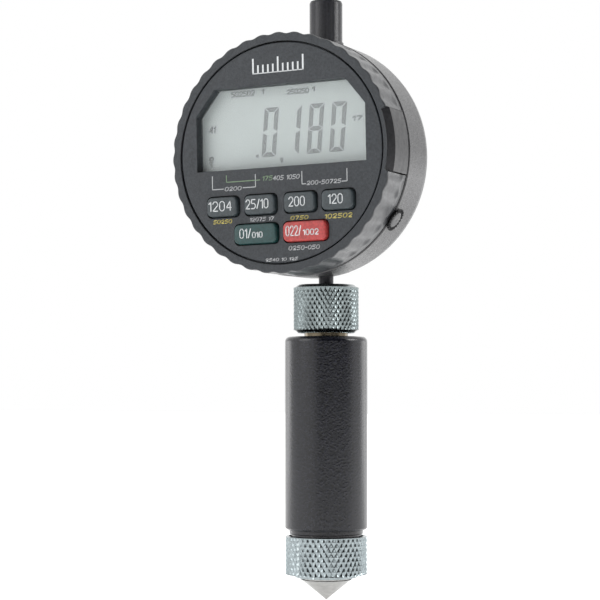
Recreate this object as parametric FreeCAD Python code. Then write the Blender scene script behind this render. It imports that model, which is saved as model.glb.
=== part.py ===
import FreeCAD, Part
import math
import os

# Digital indicator head clamped in a countersink gauge body.  Millimetres, +Z up the spindle axis.
# Origin: centre of the foot ring's seat, on the spindle axis.  The dial faces -Y.
# Places on the head are given from the dial's centre: x to the right, depth back from the face, z up.

V = FreeCAD.Vector
UP = V(0, 0, 1)
BACK = V(0, 1, 0)
RIGHT = V(1, 0, 0)

# ---- driving dimensions: head
DIAL_X = -3.0            # the stem stands 3 mm to the right of the dial's centre
DIAL_Z = 103.2
FACE_Y = -20.5           # front plane of the bezel
DISPLAY_TURN = 1.2       # how far the display is turned in the case, right side up
BEZEL_R = 29.2
BEZEL_FACE_ROUND = 0.7
BEZEL_ROUND_END = 0.9
SCALLOPS = 40
SCALLOP_DEPTH = 0.4
SCALLOP_END = 8.4
BEZEL_BAND_R = 29.15
BEZEL_END = 10.5
PLATE_R = 26.65
PLATE_FRONT = 0.15
PLATE_EDGE = 0.15
PLATE_RECESS_R = 27.0
PLATE_T = 1.8
SHELF_R = 25.7
SHELF_END = 6.5
SKIRT_R = 27.4
CASE_R = 29.3
CASE_FRONT = 10.9
CASE_SHOULDER = 0.25
CASE_STRAIGHT_END = 21.4
CASE_TAPER = ((29.0, 23.0), (28.35, 24.7))
CASE_END = 26.6
CASE_END_R = 27.0
CAVITY_R = 25.6
CAVITY_FRONT = 13.5
WEB_FRONT = 12.3
WEB_BORE = 6.0
SPIGOT_R = 27.35
SPIGOT_FRONT = 8.3
SPIGOT_BORE = 25.4
COVER_END = 28.2
COVER_EDGE_END = 27.4

# ---- driving dimensions: snap ring that holds the turning display on the case
SNAP_FRONT = 9.2
SNAP_REAR = 10.2
SNAP_GROOVE_R = 27.95
SNAP_SEAT_R = 26.6
SNAP_GAP = 0.1
SNAP_SIDE_GAP = 0.15
SNAP_MOUTH = 4.0

# ---- driving dimensions: display window and keys
WINDOW_HALF = 22.5
WINDOW_LOW = -3.4
WINDOW_HIGH = 16.6
WINDOW_CUT_X = 5.1
WINDOW_CUT_Z = 6.4
WINDOW_WALL = 0.7
WINDOW_WALL_END = 3.4
PANE_FRONT = 2.5
PANE_END = 3.3
PANE_GAP = 0.1
LCD_FRONT = 3.5
LCD_END = 5.1
LCD_GROW = 0.6
KEY_PROUD = 0.9
KEY_ROUND = 0.35
KEY_H = 4.9
KEY_W = 8.5
WIDE_KEY_W = 11.6
KEY_ROW_Z = -12.3
WIDE_ROW_Z = -19.3
KEY_GAP = 0.25
KEY_CORNER = 1.1
KEY_END = 2.2
KEY_FLANGE = (2.0, 2.7)
KEY_FLANGE_W = 1.1
KEY_FLANGE_H = 0.9
KEY_FLANGE_CORNER = 1.5
KEY_POST = (2.6, 3.9)
KEY_POST_W = -3.0
KEY_POST_H = -2.4
KEY_POST_CORNER = 0.8
KEYS = {
    "key_hold": (-15.4, KEY_ROW_Z, KEY_W),
    "key_units": (-5.3, KEY_ROW_Z, KEY_W),
    "key_second": (5.3, KEY_ROW_Z, KEY_W),
    "key_limits": (15.2, KEY_ROW_Z, KEY_W),
    "key_on": (-6.55, WIDE_ROW_Z, WIDE_KEY_W),
    "key_off": (6.55, WIDE_ROW_Z, WIDE_KEY_W),
}
MAT_OUTLINE = ((-20.5, -9.2), (20.5, -9.2), (20.5, -14.2), (13.6, -20.6), (13.0, -22.2),
               (-13.0, -22.2), (-13.6, -20.6), (-20.5, -14.2))
MAT_FRONT = 4.75
MAT_END = 5.2
MAT_PAD_FRONT = 4.48
MAT_PAD_W = -1.6
MAT_PAD_H = -1.2
MAT_PAD_CORNER = 0.9

# ---- driving dimensions: stem, spindle and gauge body
SPINDLE_R = 1.0
RUN = 0.04               # radial running clearance of the spindle
SPINDLE_LOW = 36.0
SPINDLE_TOP = 135.5
CAP_R = 4.11
CAP_LOW = 132.55
CAP_TOP = 143.1
CAP_EDGE = 0.7
CAP_EDGE_STEP = 0.2
CAP_FLOOR = 141.8
CAP_SEAT = 138.6
CAP_POCKET_R = 1.8
TOP_BOSS_R = 4.4
BUSH_LOW = 126.0
BUSH_TOP = 138.4
BUSH_R = 3.0
BUSH_LINER_TOP = 131.0
BUSH_BORE = 1.5
NECK_R = 1.83
STEM_TOP = 78.5
STEM_BORE_TOP_R = 1.1
STEM_BORE_STEP = (65.4, 66.0)
STEM_BORE = 1.6
STEM_BUSH_TOP = 54.0
SHANK_R = 4.0
SHANK_TOP = 71.2
SHANK_LOW = 48.0
SHANK_EDGE = 0.4
NUT_R = 8.1
NUT_TOP = 72.16
NUT_LOW = 60.23
NUT_BORE = 6.75
NUT_EDGE = 0.75
NUT_EDGE_IN = 1.1
NUT_HOLE = 4.2
NUT_ROOF = 70.3
FERRULE_LOW = 66.0
FERRULE_TOP = 70.2
FERRULE_R = 6.68
FERRULE_WIDE = 5.75
FERRULE_NARROW = 4.95
TUBE_R = 10.2
TUBE_TOP = 59.3
TUBE_TOP_ROUND = 1.2
TUBE_LOW = 11.8
TUBE_LOW_EDGE = 0.4
TUBE_BORE = 7.0
SHOULDER_Z = 43.0
COLLET_LOW = 47.5
COLLET_SCREW_R = 4.85
COLLET_NECK_R = 5.46
COLLET_THREAD_R = 6.7
COLLET_THREAD = (60.6, 60.9, 65.2, 65.5)
COLLET_JAW_R = 5.3
COLLET_JAW_TOP_R = 4.7
COLLET_TOP = 69.6
COLLET_SLIT = 0.6
COLLET_SLIT_LOW = 62.0
NOSE_R = 9.15
NOSE_THREAD_R = 8.6
NOSE_LOW = 4.0
NOSE_STEP = 8.4
NOSE_SEAT = 19.5
NOSE_TOP = 20.0
NOSE_BORE = 4.0
RING_R = 10.1
RING_TOP = 10.2
RING_EDGE = 0.35
RING_LOW_EDGE = 0.8
RING_LIP_R = 6.75
RING_LIP_TOP = 2.6
RING_THREAD_R = 8.66
RING_THREAD_TOP = 7.0
RING_COUNTERBORE = 9.2
RING_GROOVE_R = 9.36
RING_GROOVE = (5.2, 6.2)
FRICTION_MEAN_R = 8.98
FRICTION_WIRE_R = 0.33
CONE_R = 6.35
CONE_BASE = -0.5
CONE_TIP = -5.4
CONE_TIP_R = 0.15
CONE_TOP = 3.6
CONE_EDGE = 0.4
CONE_SOCKET = 0.6
CHAMBER_R = 6.85
CHAMBER_TOP = 9.6
PLUNGER_R = 2.5
PLUNGER_EDGE = 0.4
PLUNGER_TOP = 42.0
FLANGE_Z = 20.05
FLANGE_T = 1.55
FLANGE_R = 6.3
PLUNGER_SPRING = (5.4, 0.45, 6)        # mean radius, wire radius, turns
RETURN_SPRING = (1.3, 0.2, 14)
RETURN_SPRING_X = 4.6
RETURN_SPRING_LOW = 79.6

# ---- driving dimensions: locking screw and port cover on the rim
LOCK_ANGLE = -33.0
LOCK_DEPTH = 12.3
LOCK_HEAD_R = 3.0
LOCK_HEAD_LOW = 29.6
LOCK_HEAD_T = 0.6
LOCK_RIM = 0.75
LOCK_RIM_GAP = 0.25
LOCK_WELL_T = 0.35
LOCK_DISC = (0.25, 0.5)
LOCK_SOCKET_R = 0.75
LOCK_SOCKET_FLOOR = 0.1
LOCK_SCREW_R = 1.0
LOCK_SCREW_LOW = 25.5
LOCK_BOSS_R = 2.4
LOCK_PAD_R = 1.3
LOCK_PAD_GAP = 0.07
PORT_FROM = -12.6
PORT_TO = 17.9
PORT_GAP = 0.25
PORT_FLOOR_R = 27.9
PORT_FRONT = 0.35
PORT_BEVEL_END = 1.6
PORT_R = 29.4
PORT_REAR_R = 29.25
PORT_REAR = 10.2
PORT_SEAT_GAP = 0.05
PORT_PEGS = (-7.0, 13.5)
PORT_PEG_R = 0.6
PORT_PEG_DEPTH = 7.4
SOCKET_X = 23.8
SOCKET_FRONT = 3.95
SOCKET_Z = -1.7
SOCKET_L = 3.5
SOCKET_T = 1.3
SOCKET_W = 6.4
SOCKET_GAP = 0.25

# ---- driving dimensions: inside the head
BOARD_R = 25.4
BOARD_FRONT = 5.3
BOARD_T = 1.0
CHIP_T = 0.15
CHIPS = ((-12, 6, 7, 7), (4, 10, 9, 5), (14, -6, 4, 6))
BACK_PLATE_END = 7.9
BACK_PLATE_STEP = 0.3
BACK_PLATE_R = 27.3
BATTERY_R = 10.0
BATTERY_T = 3.2
BATTERY_FRONT = 8.0
POCKET_GAP = 0.3
POCKET_WALL = 1.0
POCKET_END = 11.25
CLIP_FRONT = 11.3
CLIP_T = 0.25
CLIP_HALF = 13.0
CLIP_H = 5.0
CLIP_FOOT = 1.2
CLIP_FOOT_L = 3.5
GUIDE_X = -6.0
GUIDE_R = 1.0
GUIDE_LOW = 76.6
GUIDE_TOP = 129.6
ARM_LOW = 97.0
ARM_H = 4.0
ARM_HALF = 2.0
ARM_L = 16.6
SCALE_X = -10.6
SCALE_T = 0.8
SCALE_HALF = 2.5
SCALE_LOW = 85.0
SCALE_H = 28.0
READER_X = -13.0
READER_T = 1.0
READER_Y = -5.0
READER_W = 9.0
READER_LOW = 92.0
READER_H = 18.0
READER_HEAD_X = -12.05
READER_HEAD_T = 0.9
READER_HEAD_HALF = 3.0
READER_HEAD_LOW = 95.0
READER_HEAD_H = 12.0
READER_FOOT_X = -17.4
READER_FOOT_L = 4.5
READER_FOOT_T = 2.5
READER_ARM_T = 1.2
READER_FOOT_LOW = 94.0
READER_FOOT_H = 14.0
STEM_BOSS_HALF = 4.5
STEM_BOSS_LOW = 70.0
STEM_BOSS_TOP = 79.5

# ---- driving dimensions: screws
BACK_SCREW_R = 23.9
BACK_SCREW_ANGLES = (45, 135, 225, 315)
BACK_SCREW_SHANK = 0.75
BACK_SCREW_HEAD = 1.5
BACK_SCREW_LOW = 21.5
BACK_SCREW_SINK = 0.8
BACK_SCREW_CONE = 0.75
BACK_SCREW_BOSS = 1.9
BACK_SCREW_BOSS_FRONT = 20.0
CROSS_L = 1.7
CROSS_W = 0.35
CROSS_DEPTH = 0.4
DISPLAY_SCREW_R = 26.55
DISPLAY_SCREW_ANGLES = (55, 130, 230, 310)
DISPLAY_SCREW_SHANK = 0.5
DISPLAY_SCREW_HEAD = 0.7
DISPLAY_SCREW_LOW = 4.0
DISPLAY_SCREW_SEAT = 7.25
DISPLAY_SCREW_TOP = 7.85

HOLE_GAP = 0.05          # radius that a plain hole has over its screw or pin
FIT_GAP = 0.02           # gap between faces of one body that rest on each other
JOIN = 0.1               # how deep a fused solid reaches into its neighbour
PAST = 1.0               # how far a cutting tool runs past the material
REACH = 40.0             # longer than any piece that a cutting tool has to pass
SAME = 1e-6

DIAL = V(DIAL_X, FACE_Y, DIAL_Z)


def turned(points, origin, axis, radial, angle=360.0):
    """Solid of revolution from (radius, height) points."""
    corners = [origin + radial * r + axis * h for r, h in points]
    wire = Part.makePolygon(corners + corners[:1])
    return Part.Face(wire).revolve(origin, axis, angle)


def stem_turned(points):
    """Turned about the spindle axis, from (radius, z) points."""
    return turned(points, V(0, 0, 0), UP, RIGHT)


def dial_turned(points):
    """Turned about the dial axis, from (radius, depth) points."""
    return turned(points, DIAL, BACK, RIGHT)


def sleeve(r_out, r_in, z0, z1):
    """Plain tube on the spindle axis."""
    return stem_turned([(r_in, z0), (r_out, z0), (r_out, z1), (r_in, z1)])


def rod(r, z0, z1, x=0.0):
    """Plain upright cylinder in the plane of the spindle."""
    return Part.makeCylinder(r, z1 - z0, V(x, 0, z0), UP)


def dial_rod(r, depth0, depth1, x=0.0, z=0.0):
    """Cylinder along the dial axis."""
    return Part.makeCylinder(r, depth1 - depth0, DIAL + V(x, depth0, z), BACK)


def dial_box(x, depth, z, width, thick, height):
    """Box from its low, front, left corner."""
    return Part.makeBox(width, thick, height, DIAL + V(x, depth, z))


def dial_plate(points, depth0, depth1):
    """Flat plate from an outline of (x, z) points."""
    corners = [DIAL + V(x, depth0, z) for x, z in points]
    face = Part.Face(Part.makePolygon(corners + corners[:1]))
    return face.extrude(BACK * (depth1 - depth0))


def rounded_plate(x, z, width, height, radius, depth0, depth1):
    """Plate with rounded corners, centred at x and z."""
    box = dial_box(x - width / 2, depth0, z - height / 2, width, depth1 - depth0, height)
    corners = [edge for edge in box.Edges if abs(abs(edge.tangentAt(edge.FirstParameter).y) - 1) < SAME]
    return box.makeFillet(radius, corners)


def radial(angle):
    """Direction outwards from the dial axis, angle measured up from the right."""
    turn = math.radians(angle)
    return V(math.cos(turn), 0, math.sin(turn))


def on_rim(r, r0, r1, angle, depth):
    """Cylinder standing radially on the rim of the dial."""
    out = radial(angle)
    return Part.makeCylinder(r, r1 - r0, DIAL + BACK * depth + out * r0, out)


def rim_sector(points, angle0, angle1):
    """Part of a ring about the dial axis between two angles, from (radius, depth) points."""
    return turned([(r, -depth) for r, depth in points], DIAL, BACK * -1, radial(angle0), angle1 - angle0)


def in_display(shape):
    """Turn a piece of the display unit to its place in the case."""
    return shape.rotate(DIAL, BACK, -DISPLAY_TURN)


def window_outline(grow):
    """Outline of the display window, grown by the given amount."""
    half = WINDOW_HALF + grow
    low = WINDOW_LOW - grow
    high = WINDOW_HIGH + grow
    return [(-half, low), (half, low), (half, high - WINDOW_CUT_Z),
            (half - WINDOW_CUT_X, high), (WINDOW_CUT_X - half, high), (-half, high - WINDOW_CUT_Z)]


def scalloped(depth0, depth1):
    """Plate with a wavy rim of shallow scallops."""
    step = 2 * math.pi / SCALLOPS
    middle = BEZEL_R - SCALLOP_DEPTH / 2
    radii = (middle, BEZEL_R, middle, BEZEL_R - SCALLOP_DEPTH, middle)
    edges = []
    for number in range(SCALLOPS):
        turns = [math.degrees(step) * (number + part / 4) for part in range(5)]
        marks = [DIAL + BACK * depth0 + radial(turn) * r for turn, r in zip(turns, radii)]
        edges.append(Part.Arc(marks[0], marks[1], marks[2]).toShape())
        edges.append(Part.Arc(marks[2], marks[3], marks[4]).toShape())
    return Part.Face(Part.Wire(edges)).extrude(BACK * (depth1 - depth0))


def coil(mean_r, wire_r, z0, z1, turns, x=0.0):
    """Round-wire helical spring between two heights."""
    height = z1 - z0 - 2 * wire_r
    helix = Part.makeHelix(height / turns, height, mean_r)
    section = Part.Wire(Part.makeCircle(wire_r, V(mean_r, 0, 0), BACK))
    spring = Part.Wire(helix.Edges).makePipeShell([section], True, True)
    spring.translate(V(x, 0, z0 + wire_r))
    return spring


# ---- display unit

def make_bezel_ring():
    rounded = dial_turned([(0, 0), (BEZEL_R - BEZEL_FACE_ROUND, 0), (BEZEL_R + JOIN, BEZEL_ROUND_END),
                           (BEZEL_R + JOIN, SCALLOP_END), (0, SCALLOP_END)])
    body = scalloped(0, SCALLOP_END).common(rounded)
    body = body.fuse(dial_rod(BEZEL_BAND_R, SCALLOP_END, BEZEL_END))
    bore = dial_turned([(0, -PAST), (PLATE_RECESS_R, -PAST), (PLATE_RECESS_R, PLATE_T), (SHELF_R, PLATE_T),
                        (SHELF_R, SHELF_END), (SKIRT_R, SHELF_END), (SKIRT_R, SNAP_FRONT),
                        (SNAP_GROOVE_R, SNAP_FRONT), (SNAP_GROOVE_R, SNAP_REAR), (SKIRT_R, SNAP_REAR),
                        (SKIRT_R, BEZEL_END + PAST), (0, BEZEL_END + PAST)])
    port = rim_sector([(PORT_FLOOR_R, -PAST), (BEZEL_R + PAST, -PAST), (BEZEL_R + PAST, BEZEL_END + PAST),
                       (PORT_FLOOR_R, BEZEL_END + PAST)], PORT_FROM, PORT_TO)
    slot = dial_box(SOCKET_X - PAST, SOCKET_FRONT - SOCKET_GAP, SOCKET_Z - SOCKET_GAP,
                    SOCKET_L + 2 * PAST, SOCKET_T + 2 * SOCKET_GAP, SOCKET_W + 2 * SOCKET_GAP)
    body = body.cut(bore).cut(port).cut(slot)
    for angle in PORT_PEGS:
        body = body.cut(on_rim(PORT_PEG_R + HOLE_GAP, SHELF_R, BEZEL_R, angle, PORT_PEG_DEPTH))
    for angle in DISPLAY_SCREW_ANGLES:
        spot = radial(angle) * DISPLAY_SCREW_R
        body = body.cut(dial_rod(DISPLAY_SCREW_SHANK + HOLE_GAP, DISPLAY_SCREW_LOW - PAST / 2,
                                 SHELF_END + PAST, spot.x, spot.z))
    return body


def make_face_plate():
    disc = dial_turned([(0, PLATE_FRONT), (PLATE_R - PLATE_EDGE, PLATE_FRONT),
                        (PLATE_R, PLATE_FRONT + PLATE_EDGE), (PLATE_R, PLATE_T - FIT_GAP),
                        (0, PLATE_T - FIT_GAP)])
    frame = dial_plate(window_outline(WINDOW_WALL), PLATE_T - JOIN, WINDOW_WALL_END)
    plate = disc.fuse(frame).cut(dial_plate(window_outline(0), -PAST, WINDOW_WALL_END + PAST))
    for x, z, width in KEYS.values():
        plate = plate.cut(rounded_plate(x, z, width + 2 * KEY_GAP, KEY_H + 2 * KEY_GAP,
                                        KEY_CORNER + KEY_GAP, -PAST, WINDOW_WALL_END + PAST))
    return plate.removeSplitter()


def make_key(x, z, width):
    body = rounded_plate(x, z, width, KEY_H, KEY_CORNER, -KEY_PROUD, KEY_END)
    top = [edge for edge in body.Edges
           if all(abs(vertex.Point.y - (FACE_Y - KEY_PROUD)) < SAME for vertex in edge.Vertexes)]
    body = body.makeFillet(KEY_ROUND, top)
    flange = rounded_plate(x, z, width + KEY_FLANGE_W, KEY_H + KEY_FLANGE_H, KEY_FLANGE_CORNER, *KEY_FLANGE)
    post = rounded_plate(x, z, width + KEY_POST_W, KEY_H + KEY_POST_H, KEY_POST_CORNER, *KEY_POST)
    return body.fuse([flange, post])


def make_keypad_mat():
    mat = dial_plate(MAT_OUTLINE, MAT_FRONT, MAT_END)
    for x, z, width in KEYS.values():
        mat = mat.fuse(rounded_plate(x, z, width + MAT_PAD_W, KEY_H + MAT_PAD_H, MAT_PAD_CORNER,
                                     MAT_PAD_FRONT, MAT_FRONT + FIT_GAP))
    return mat.removeSplitter()


def make_main_board():
    board = dial_rod(BOARD_R, BOARD_FRONT, BOARD_FRONT + BOARD_T)
    for x, z, width, height in CHIPS:
        board = board.fuse(dial_box(x - width / 2, BOARD_FRONT + BOARD_T - JOIN, z - height / 2,
                                    width, CHIP_T + JOIN, height))
    return board


def make_display_back():
    step_r = SHELF_R - BACK_PLATE_STEP - JOIN
    step = SHELF_END + BACK_PLATE_STEP
    seat = SHELF_END + FIT_GAP
    pocket_r = BATTERY_R + POCKET_GAP
    plate = dial_turned([(0, step), (step_r, step), (step_r, seat), (BACK_PLATE_R, seat),
                         (BACK_PLATE_R, BACK_PLATE_END), (0, BACK_PLATE_END)])
    pocket = dial_turned([(pocket_r, BACK_PLATE_END - JOIN), (pocket_r + POCKET_WALL, BACK_PLATE_END - JOIN),
                          (pocket_r + POCKET_WALL, POCKET_END), (pocket_r, POCKET_END)])
    plate = plate.fuse(pocket)
    for angle in DISPLAY_SCREW_ANGLES:
        spot = radial(angle) * DISPLAY_SCREW_R
        hole = dial_rod(DISPLAY_SCREW_SHANK + 2 * HOLE_GAP, SHELF_END - PAST, BACK_PLATE_END + PAST,
                        spot.x, spot.z)
        sink = dial_rod(DISPLAY_SCREW_HEAD + 2 * HOLE_GAP, DISPLAY_SCREW_SEAT - HOLE_GAP,
                        BACK_PLATE_END + PAST, spot.x, spot.z)
        plate = plate.cut(hole).cut(sink)
    return plate


def make_display_screws():
    screws = []
    for angle in DISPLAY_SCREW_ANGLES:
        spot = radial(angle) * DISPLAY_SCREW_R
        shank = dial_rod(DISPLAY_SCREW_SHANK, DISPLAY_SCREW_LOW, DISPLAY_SCREW_SEAT + JOIN, spot.x, spot.z)
        head = dial_rod(DISPLAY_SCREW_HEAD, DISPLAY_SCREW_SEAT, DISPLAY_SCREW_TOP, spot.x, spot.z)
        screws.append(shank.fuse(head))
    return Part.makeCompound(screws)


def make_battery_clip():
    strip = dial_box(-CLIP_HALF, CLIP_FRONT, -CLIP_H / 2, 2 * CLIP_HALF, CLIP_T, CLIP_H)
    feet = [dial_box(x, BATTERY_FRONT, -CLIP_H / 2, CLIP_FOOT, CLIP_FOOT_L, CLIP_H)
            for x in (-CLIP_HALF, CLIP_HALF - CLIP_FOOT)]
    return strip.fuse(feet)


def make_port_cover():
    low_r = PORT_FLOOR_R + PORT_SEAT_GAP
    outline = [(low_r, PORT_FRONT), (PORT_R, PORT_BEVEL_END), (PORT_REAR_R, PORT_REAR), (low_r, PORT_REAR)]
    body = rim_sector(outline, PORT_FROM + PORT_GAP, PORT_TO - PORT_GAP)
    pegs = [on_rim(PORT_PEG_R, SKIRT_R + PORT_SEAT_GAP, PORT_FLOOR_R + PORT_GAP, angle, PORT_PEG_DEPTH)
            for angle in PORT_PEGS]
    return body.fuse(pegs)


# ---- fixed part of the head

def make_rear_case():
    case = dial_turned([(SPIGOT_BORE, SPIGOT_FRONT), (SPIGOT_R, SPIGOT_FRONT), (SPIGOT_R, SNAP_FRONT),
                        (SNAP_SEAT_R, SNAP_FRONT), (SNAP_SEAT_R, SNAP_REAR), (SPIGOT_R, SNAP_REAR),
                        (SPIGOT_R, CASE_FRONT), (CASE_R - CASE_SHOULDER, CASE_FRONT),
                        (CASE_R, CASE_FRONT + CASE_SHOULDER), (CASE_R, CASE_STRAIGHT_END), *CASE_TAPER,
                        (CASE_END_R, CASE_END), (CAVITY_R, CASE_END), (CAVITY_R, CAVITY_FRONT),
                        (WEB_BORE, CAVITY_FRONT), (WEB_BORE, WEB_FRONT), (SPIGOT_BORE, WEB_FRONT)])
    inside = dial_rod(CASE_R - 2 * CASE_SHOULDER, CASE_FRONT, CASE_TAPER[1][1])
    stem_boss = Part.makeBox(2 * STEM_BOSS_HALF, 2 * STEM_BOSS_HALF, STEM_BOSS_TOP - STEM_BOSS_LOW,
                             V(-STEM_BOSS_HALF, -STEM_BOSS_HALF, STEM_BOSS_LOW)).common(inside)
    top_boss = rod(TOP_BOSS_R, BUSH_LOW, CAP_LOW - HOLE_GAP)
    lock_boss = on_rim(LOCK_BOSS_R, SPIGOT_BORE, CASE_R - 2 * CASE_SHOULDER, LOCK_ANGLE, CAVITY_FRONT + PAST)
    lock_pad = on_rim(LOCK_PAD_R, CASE_R - PAST, LOCK_HEAD_LOW - LOCK_PAD_GAP, LOCK_ANGLE, LOCK_DEPTH)
    case = case.fuse([stem_boss, top_boss, lock_boss, lock_pad])
    for angle in BACK_SCREW_ANGLES:
        spot = radial(angle) * BACK_SCREW_R
        case = case.fuse(dial_rod(BACK_SCREW_BOSS, CAVITY_FRONT - 5 * JOIN, CASE_END, spot.x, spot.z))
        case = case.cut(dial_rod(BACK_SCREW_SHANK + HOLE_GAP, BACK_SCREW_BOSS_FRONT, REACH, spot.x, spot.z))
    case = case.cut(rod(NECK_R + FIT_GAP, STEM_BOSS_LOW, STEM_BOSS_TOP + PAST))
    case = case.cut(rod(BUSH_R + FIT_GAP, BUSH_LOW - PAST, CAP_LOW + PAST))
    case = case.cut(rod(GUIDE_R, GUIDE_LOW - HOLE_GAP, GUIDE_TOP + HOLE_GAP, GUIDE_X))
    case = case.cut(on_rim(LOCK_SCREW_R + HOLE_GAP, LOCK_SCREW_LOW - PAST, LOCK_HEAD_LOW,
                           LOCK_ANGLE, LOCK_DEPTH))
    return case.removeSplitter()


def make_back_cover():
    cover = dial_turned([(0, CASE_END + FIT_GAP), (CASE_END_R - JOIN, CASE_END + FIT_GAP),
                         (CASE_END_R - 3 * JOIN, COVER_EDGE_END), (CASE_END_R - PAST, COVER_END),
                         (0, COVER_END)])
    hole_r = BACK_SCREW_SHANK + 2 * HOLE_GAP
    for angle in BACK_SCREW_ANGLES:
        spot = radial(angle) * BACK_SCREW_R
        cover = cover.cut(dial_rod(hole_r, CASE_END - PAST, COVER_END + PAST, spot.x, spot.z))
        sink = Part.makeCone(hole_r, BACK_SCREW_HEAD + 3 * HOLE_GAP, BACK_SCREW_SINK + HOLE_GAP,
                             DIAL + V(spot.x, COVER_END - BACK_SCREW_SINK, spot.z), BACK)
        cover = cover.cut(sink)
    return cover


def make_back_screws():
    screws = []
    for angle in BACK_SCREW_ANGLES:
        spot = radial(angle) * BACK_SCREW_R
        seat = COVER_END - BACK_SCREW_SINK
        shank = dial_rod(BACK_SCREW_SHANK, BACK_SCREW_LOW, seat + JOIN, spot.x, spot.z)
        head = Part.makeCone(BACK_SCREW_SHANK, BACK_SCREW_HEAD, BACK_SCREW_CONE,
                             DIAL + V(spot.x, seat, spot.z), BACK)
        screw = shank.fuse(head)
        for width, height in ((CROSS_L, CROSS_W), (CROSS_W, CROSS_L)):
            screw = screw.cut(dial_box(spot.x - width / 2, COVER_END - CROSS_DEPTH, spot.z - height / 2,
                                       width, PAST, height))
        screws.append(screw)
    return Part.makeCompound(screws)


def make_dust_cap():
    bore = BUSH_R + 2 * FIT_GAP
    return stem_turned([(bore, CAP_LOW), (CAP_R, CAP_LOW), (CAP_R, CAP_TOP - CAP_EDGE),
                        (CAP_R - CAP_EDGE_STEP, CAP_TOP - CAP_EDGE_STEP), (CAP_R - CAP_EDGE, CAP_TOP),
                        (0, CAP_TOP), (0, CAP_FLOOR), (CAP_POCKET_R, CAP_FLOOR), (CAP_POCKET_R, CAP_SEAT),
                        (bore, CAP_SEAT)])


def make_upper_bush():
    return stem_turned([(SPINDLE_R + RUN, BUSH_LOW), (BUSH_R, BUSH_LOW), (BUSH_R, BUSH_TOP),
                        (BUSH_BORE, BUSH_TOP), (BUSH_BORE, BUSH_LINER_TOP),
                        (SPINDLE_R + RUN, BUSH_LINER_TOP)])


def make_stem():
    return stem_turned([(STEM_BORE_TOP_R, STEM_TOP), (STEM_BORE_TOP_R, STEM_BORE_STEP[1]),
                        (STEM_BORE, STEM_BORE_STEP[0]), (STEM_BORE, SHANK_LOW),
                        (SHANK_R - SHANK_EDGE, SHANK_LOW), (SHANK_R, SHANK_LOW + SHANK_EDGE),
                        (SHANK_R, SHANK_TOP - SHANK_EDGE),
                        (SHANK_R - SHANK_EDGE, SHANK_TOP), (NECK_R, SHANK_TOP), (NECK_R, STEM_TOP)])


def make_encoder_reader():
    board = Part.makeBox(READER_T, READER_W, READER_H, V(READER_X, READER_Y, READER_LOW))
    head = Part.makeBox(READER_HEAD_T, 2 * READER_HEAD_HALF, READER_HEAD_H,
                        V(READER_HEAD_X, -READER_HEAD_HALF, READER_HEAD_LOW))
    foot = Part.makeBox(READER_FOOT_L, READER_FOOT_T, READER_FOOT_H,
                        V(READER_FOOT_X, CAVITY_FRONT + FACE_Y, READER_FOOT_LOW))
    arm = Part.makeBox(READER_FOOT_L, READER_ARM_T, READER_FOOT_H,
                       V(READER_FOOT_X, READER_Y, READER_FOOT_LOW))
    return board.fuse([head, foot, arm])


def make_snap_ring():
    inner = SNAP_SEAT_R + SNAP_GAP
    outer = SNAP_GROOVE_R - SNAP_GAP
    front = SNAP_FRONT + SNAP_SIDE_GAP
    rear = SNAP_REAR - SNAP_SIDE_GAP
    ring = dial_turned([(inner, front), (outer, front), (outer, rear), (inner, rear)])
    mouth = dial_box(-outer - PAST, SNAP_FRONT - PAST, -SNAP_MOUTH / 2,
                     2 * SNAP_MOUTH, SNAP_MOUTH, SNAP_MOUTH)
    return ring.cut(mouth)


# ---- spindle

def make_guide_arm():
    arm = Part.makeBox(ARM_L, 2 * ARM_HALF, ARM_H, V(SCALE_X + SCALE_T, -ARM_HALF, ARM_LOW))
    arm = arm.cut(rod(SPINDLE_R, ARM_LOW - PAST, ARM_LOW + ARM_H + PAST))
    return arm.cut(rod(GUIDE_R + HOLE_GAP, ARM_LOW - PAST, ARM_LOW + ARM_H + PAST, GUIDE_X))


def make_plunger():
    flange_top = FLANGE_Z + FLANGE_T
    body = stem_turned([(0, CONE_SOCKET), (PLUNGER_R - PLUNGER_EDGE, CONE_SOCKET),
                        (PLUNGER_R, CONE_SOCKET + PLUNGER_EDGE), (PLUNGER_R, FLANGE_Z), (FLANGE_R, FLANGE_Z),
                        (FLANGE_R, flange_top), (PLUNGER_R, flange_top), (PLUNGER_R, PLUNGER_TOP),
                        (0, PLUNGER_TOP)])
    return body.cut(rod(SPINDLE_R, SPINDLE_LOW, PLUNGER_TOP + PAST))


def make_contact_cone():
    cone = stem_turned([(0, CONE_TIP), (CONE_TIP_R, CONE_TIP), (CONE_R, CONE_BASE),
                        (CONE_R, CONE_TOP - CONE_EDGE), (CONE_R - CONE_EDGE, CONE_TOP), (0, CONE_TOP)])
    return cone.cut(rod(PLUNGER_R, CONE_SOCKET, CONE_TOP + PAST))


# ---- gauge body

def make_body_tube():
    tube = stem_turned([(TUBE_BORE, TUBE_LOW), (TUBE_R - TUBE_LOW_EDGE, TUBE_LOW),
                        (TUBE_R, TUBE_LOW + TUBE_LOW_EDGE), (TUBE_R, TUBE_TOP), (COLLET_SCREW_R, TUBE_TOP),
                        (COLLET_SCREW_R, SHOULDER_Z), (TUBE_BORE, SHOULDER_Z)])
    corner = V(TUBE_R, 0, TUBE_TOP)
    rim = [edge for edge in tube.Edges if edge.Vertexes and edge.Length > math.pi * TUBE_R
           and all((vertex.Point - corner).Length < SAME for vertex in edge.Vertexes)]
    return tube.makeFillet(TUBE_TOP_ROUND, rim)


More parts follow.
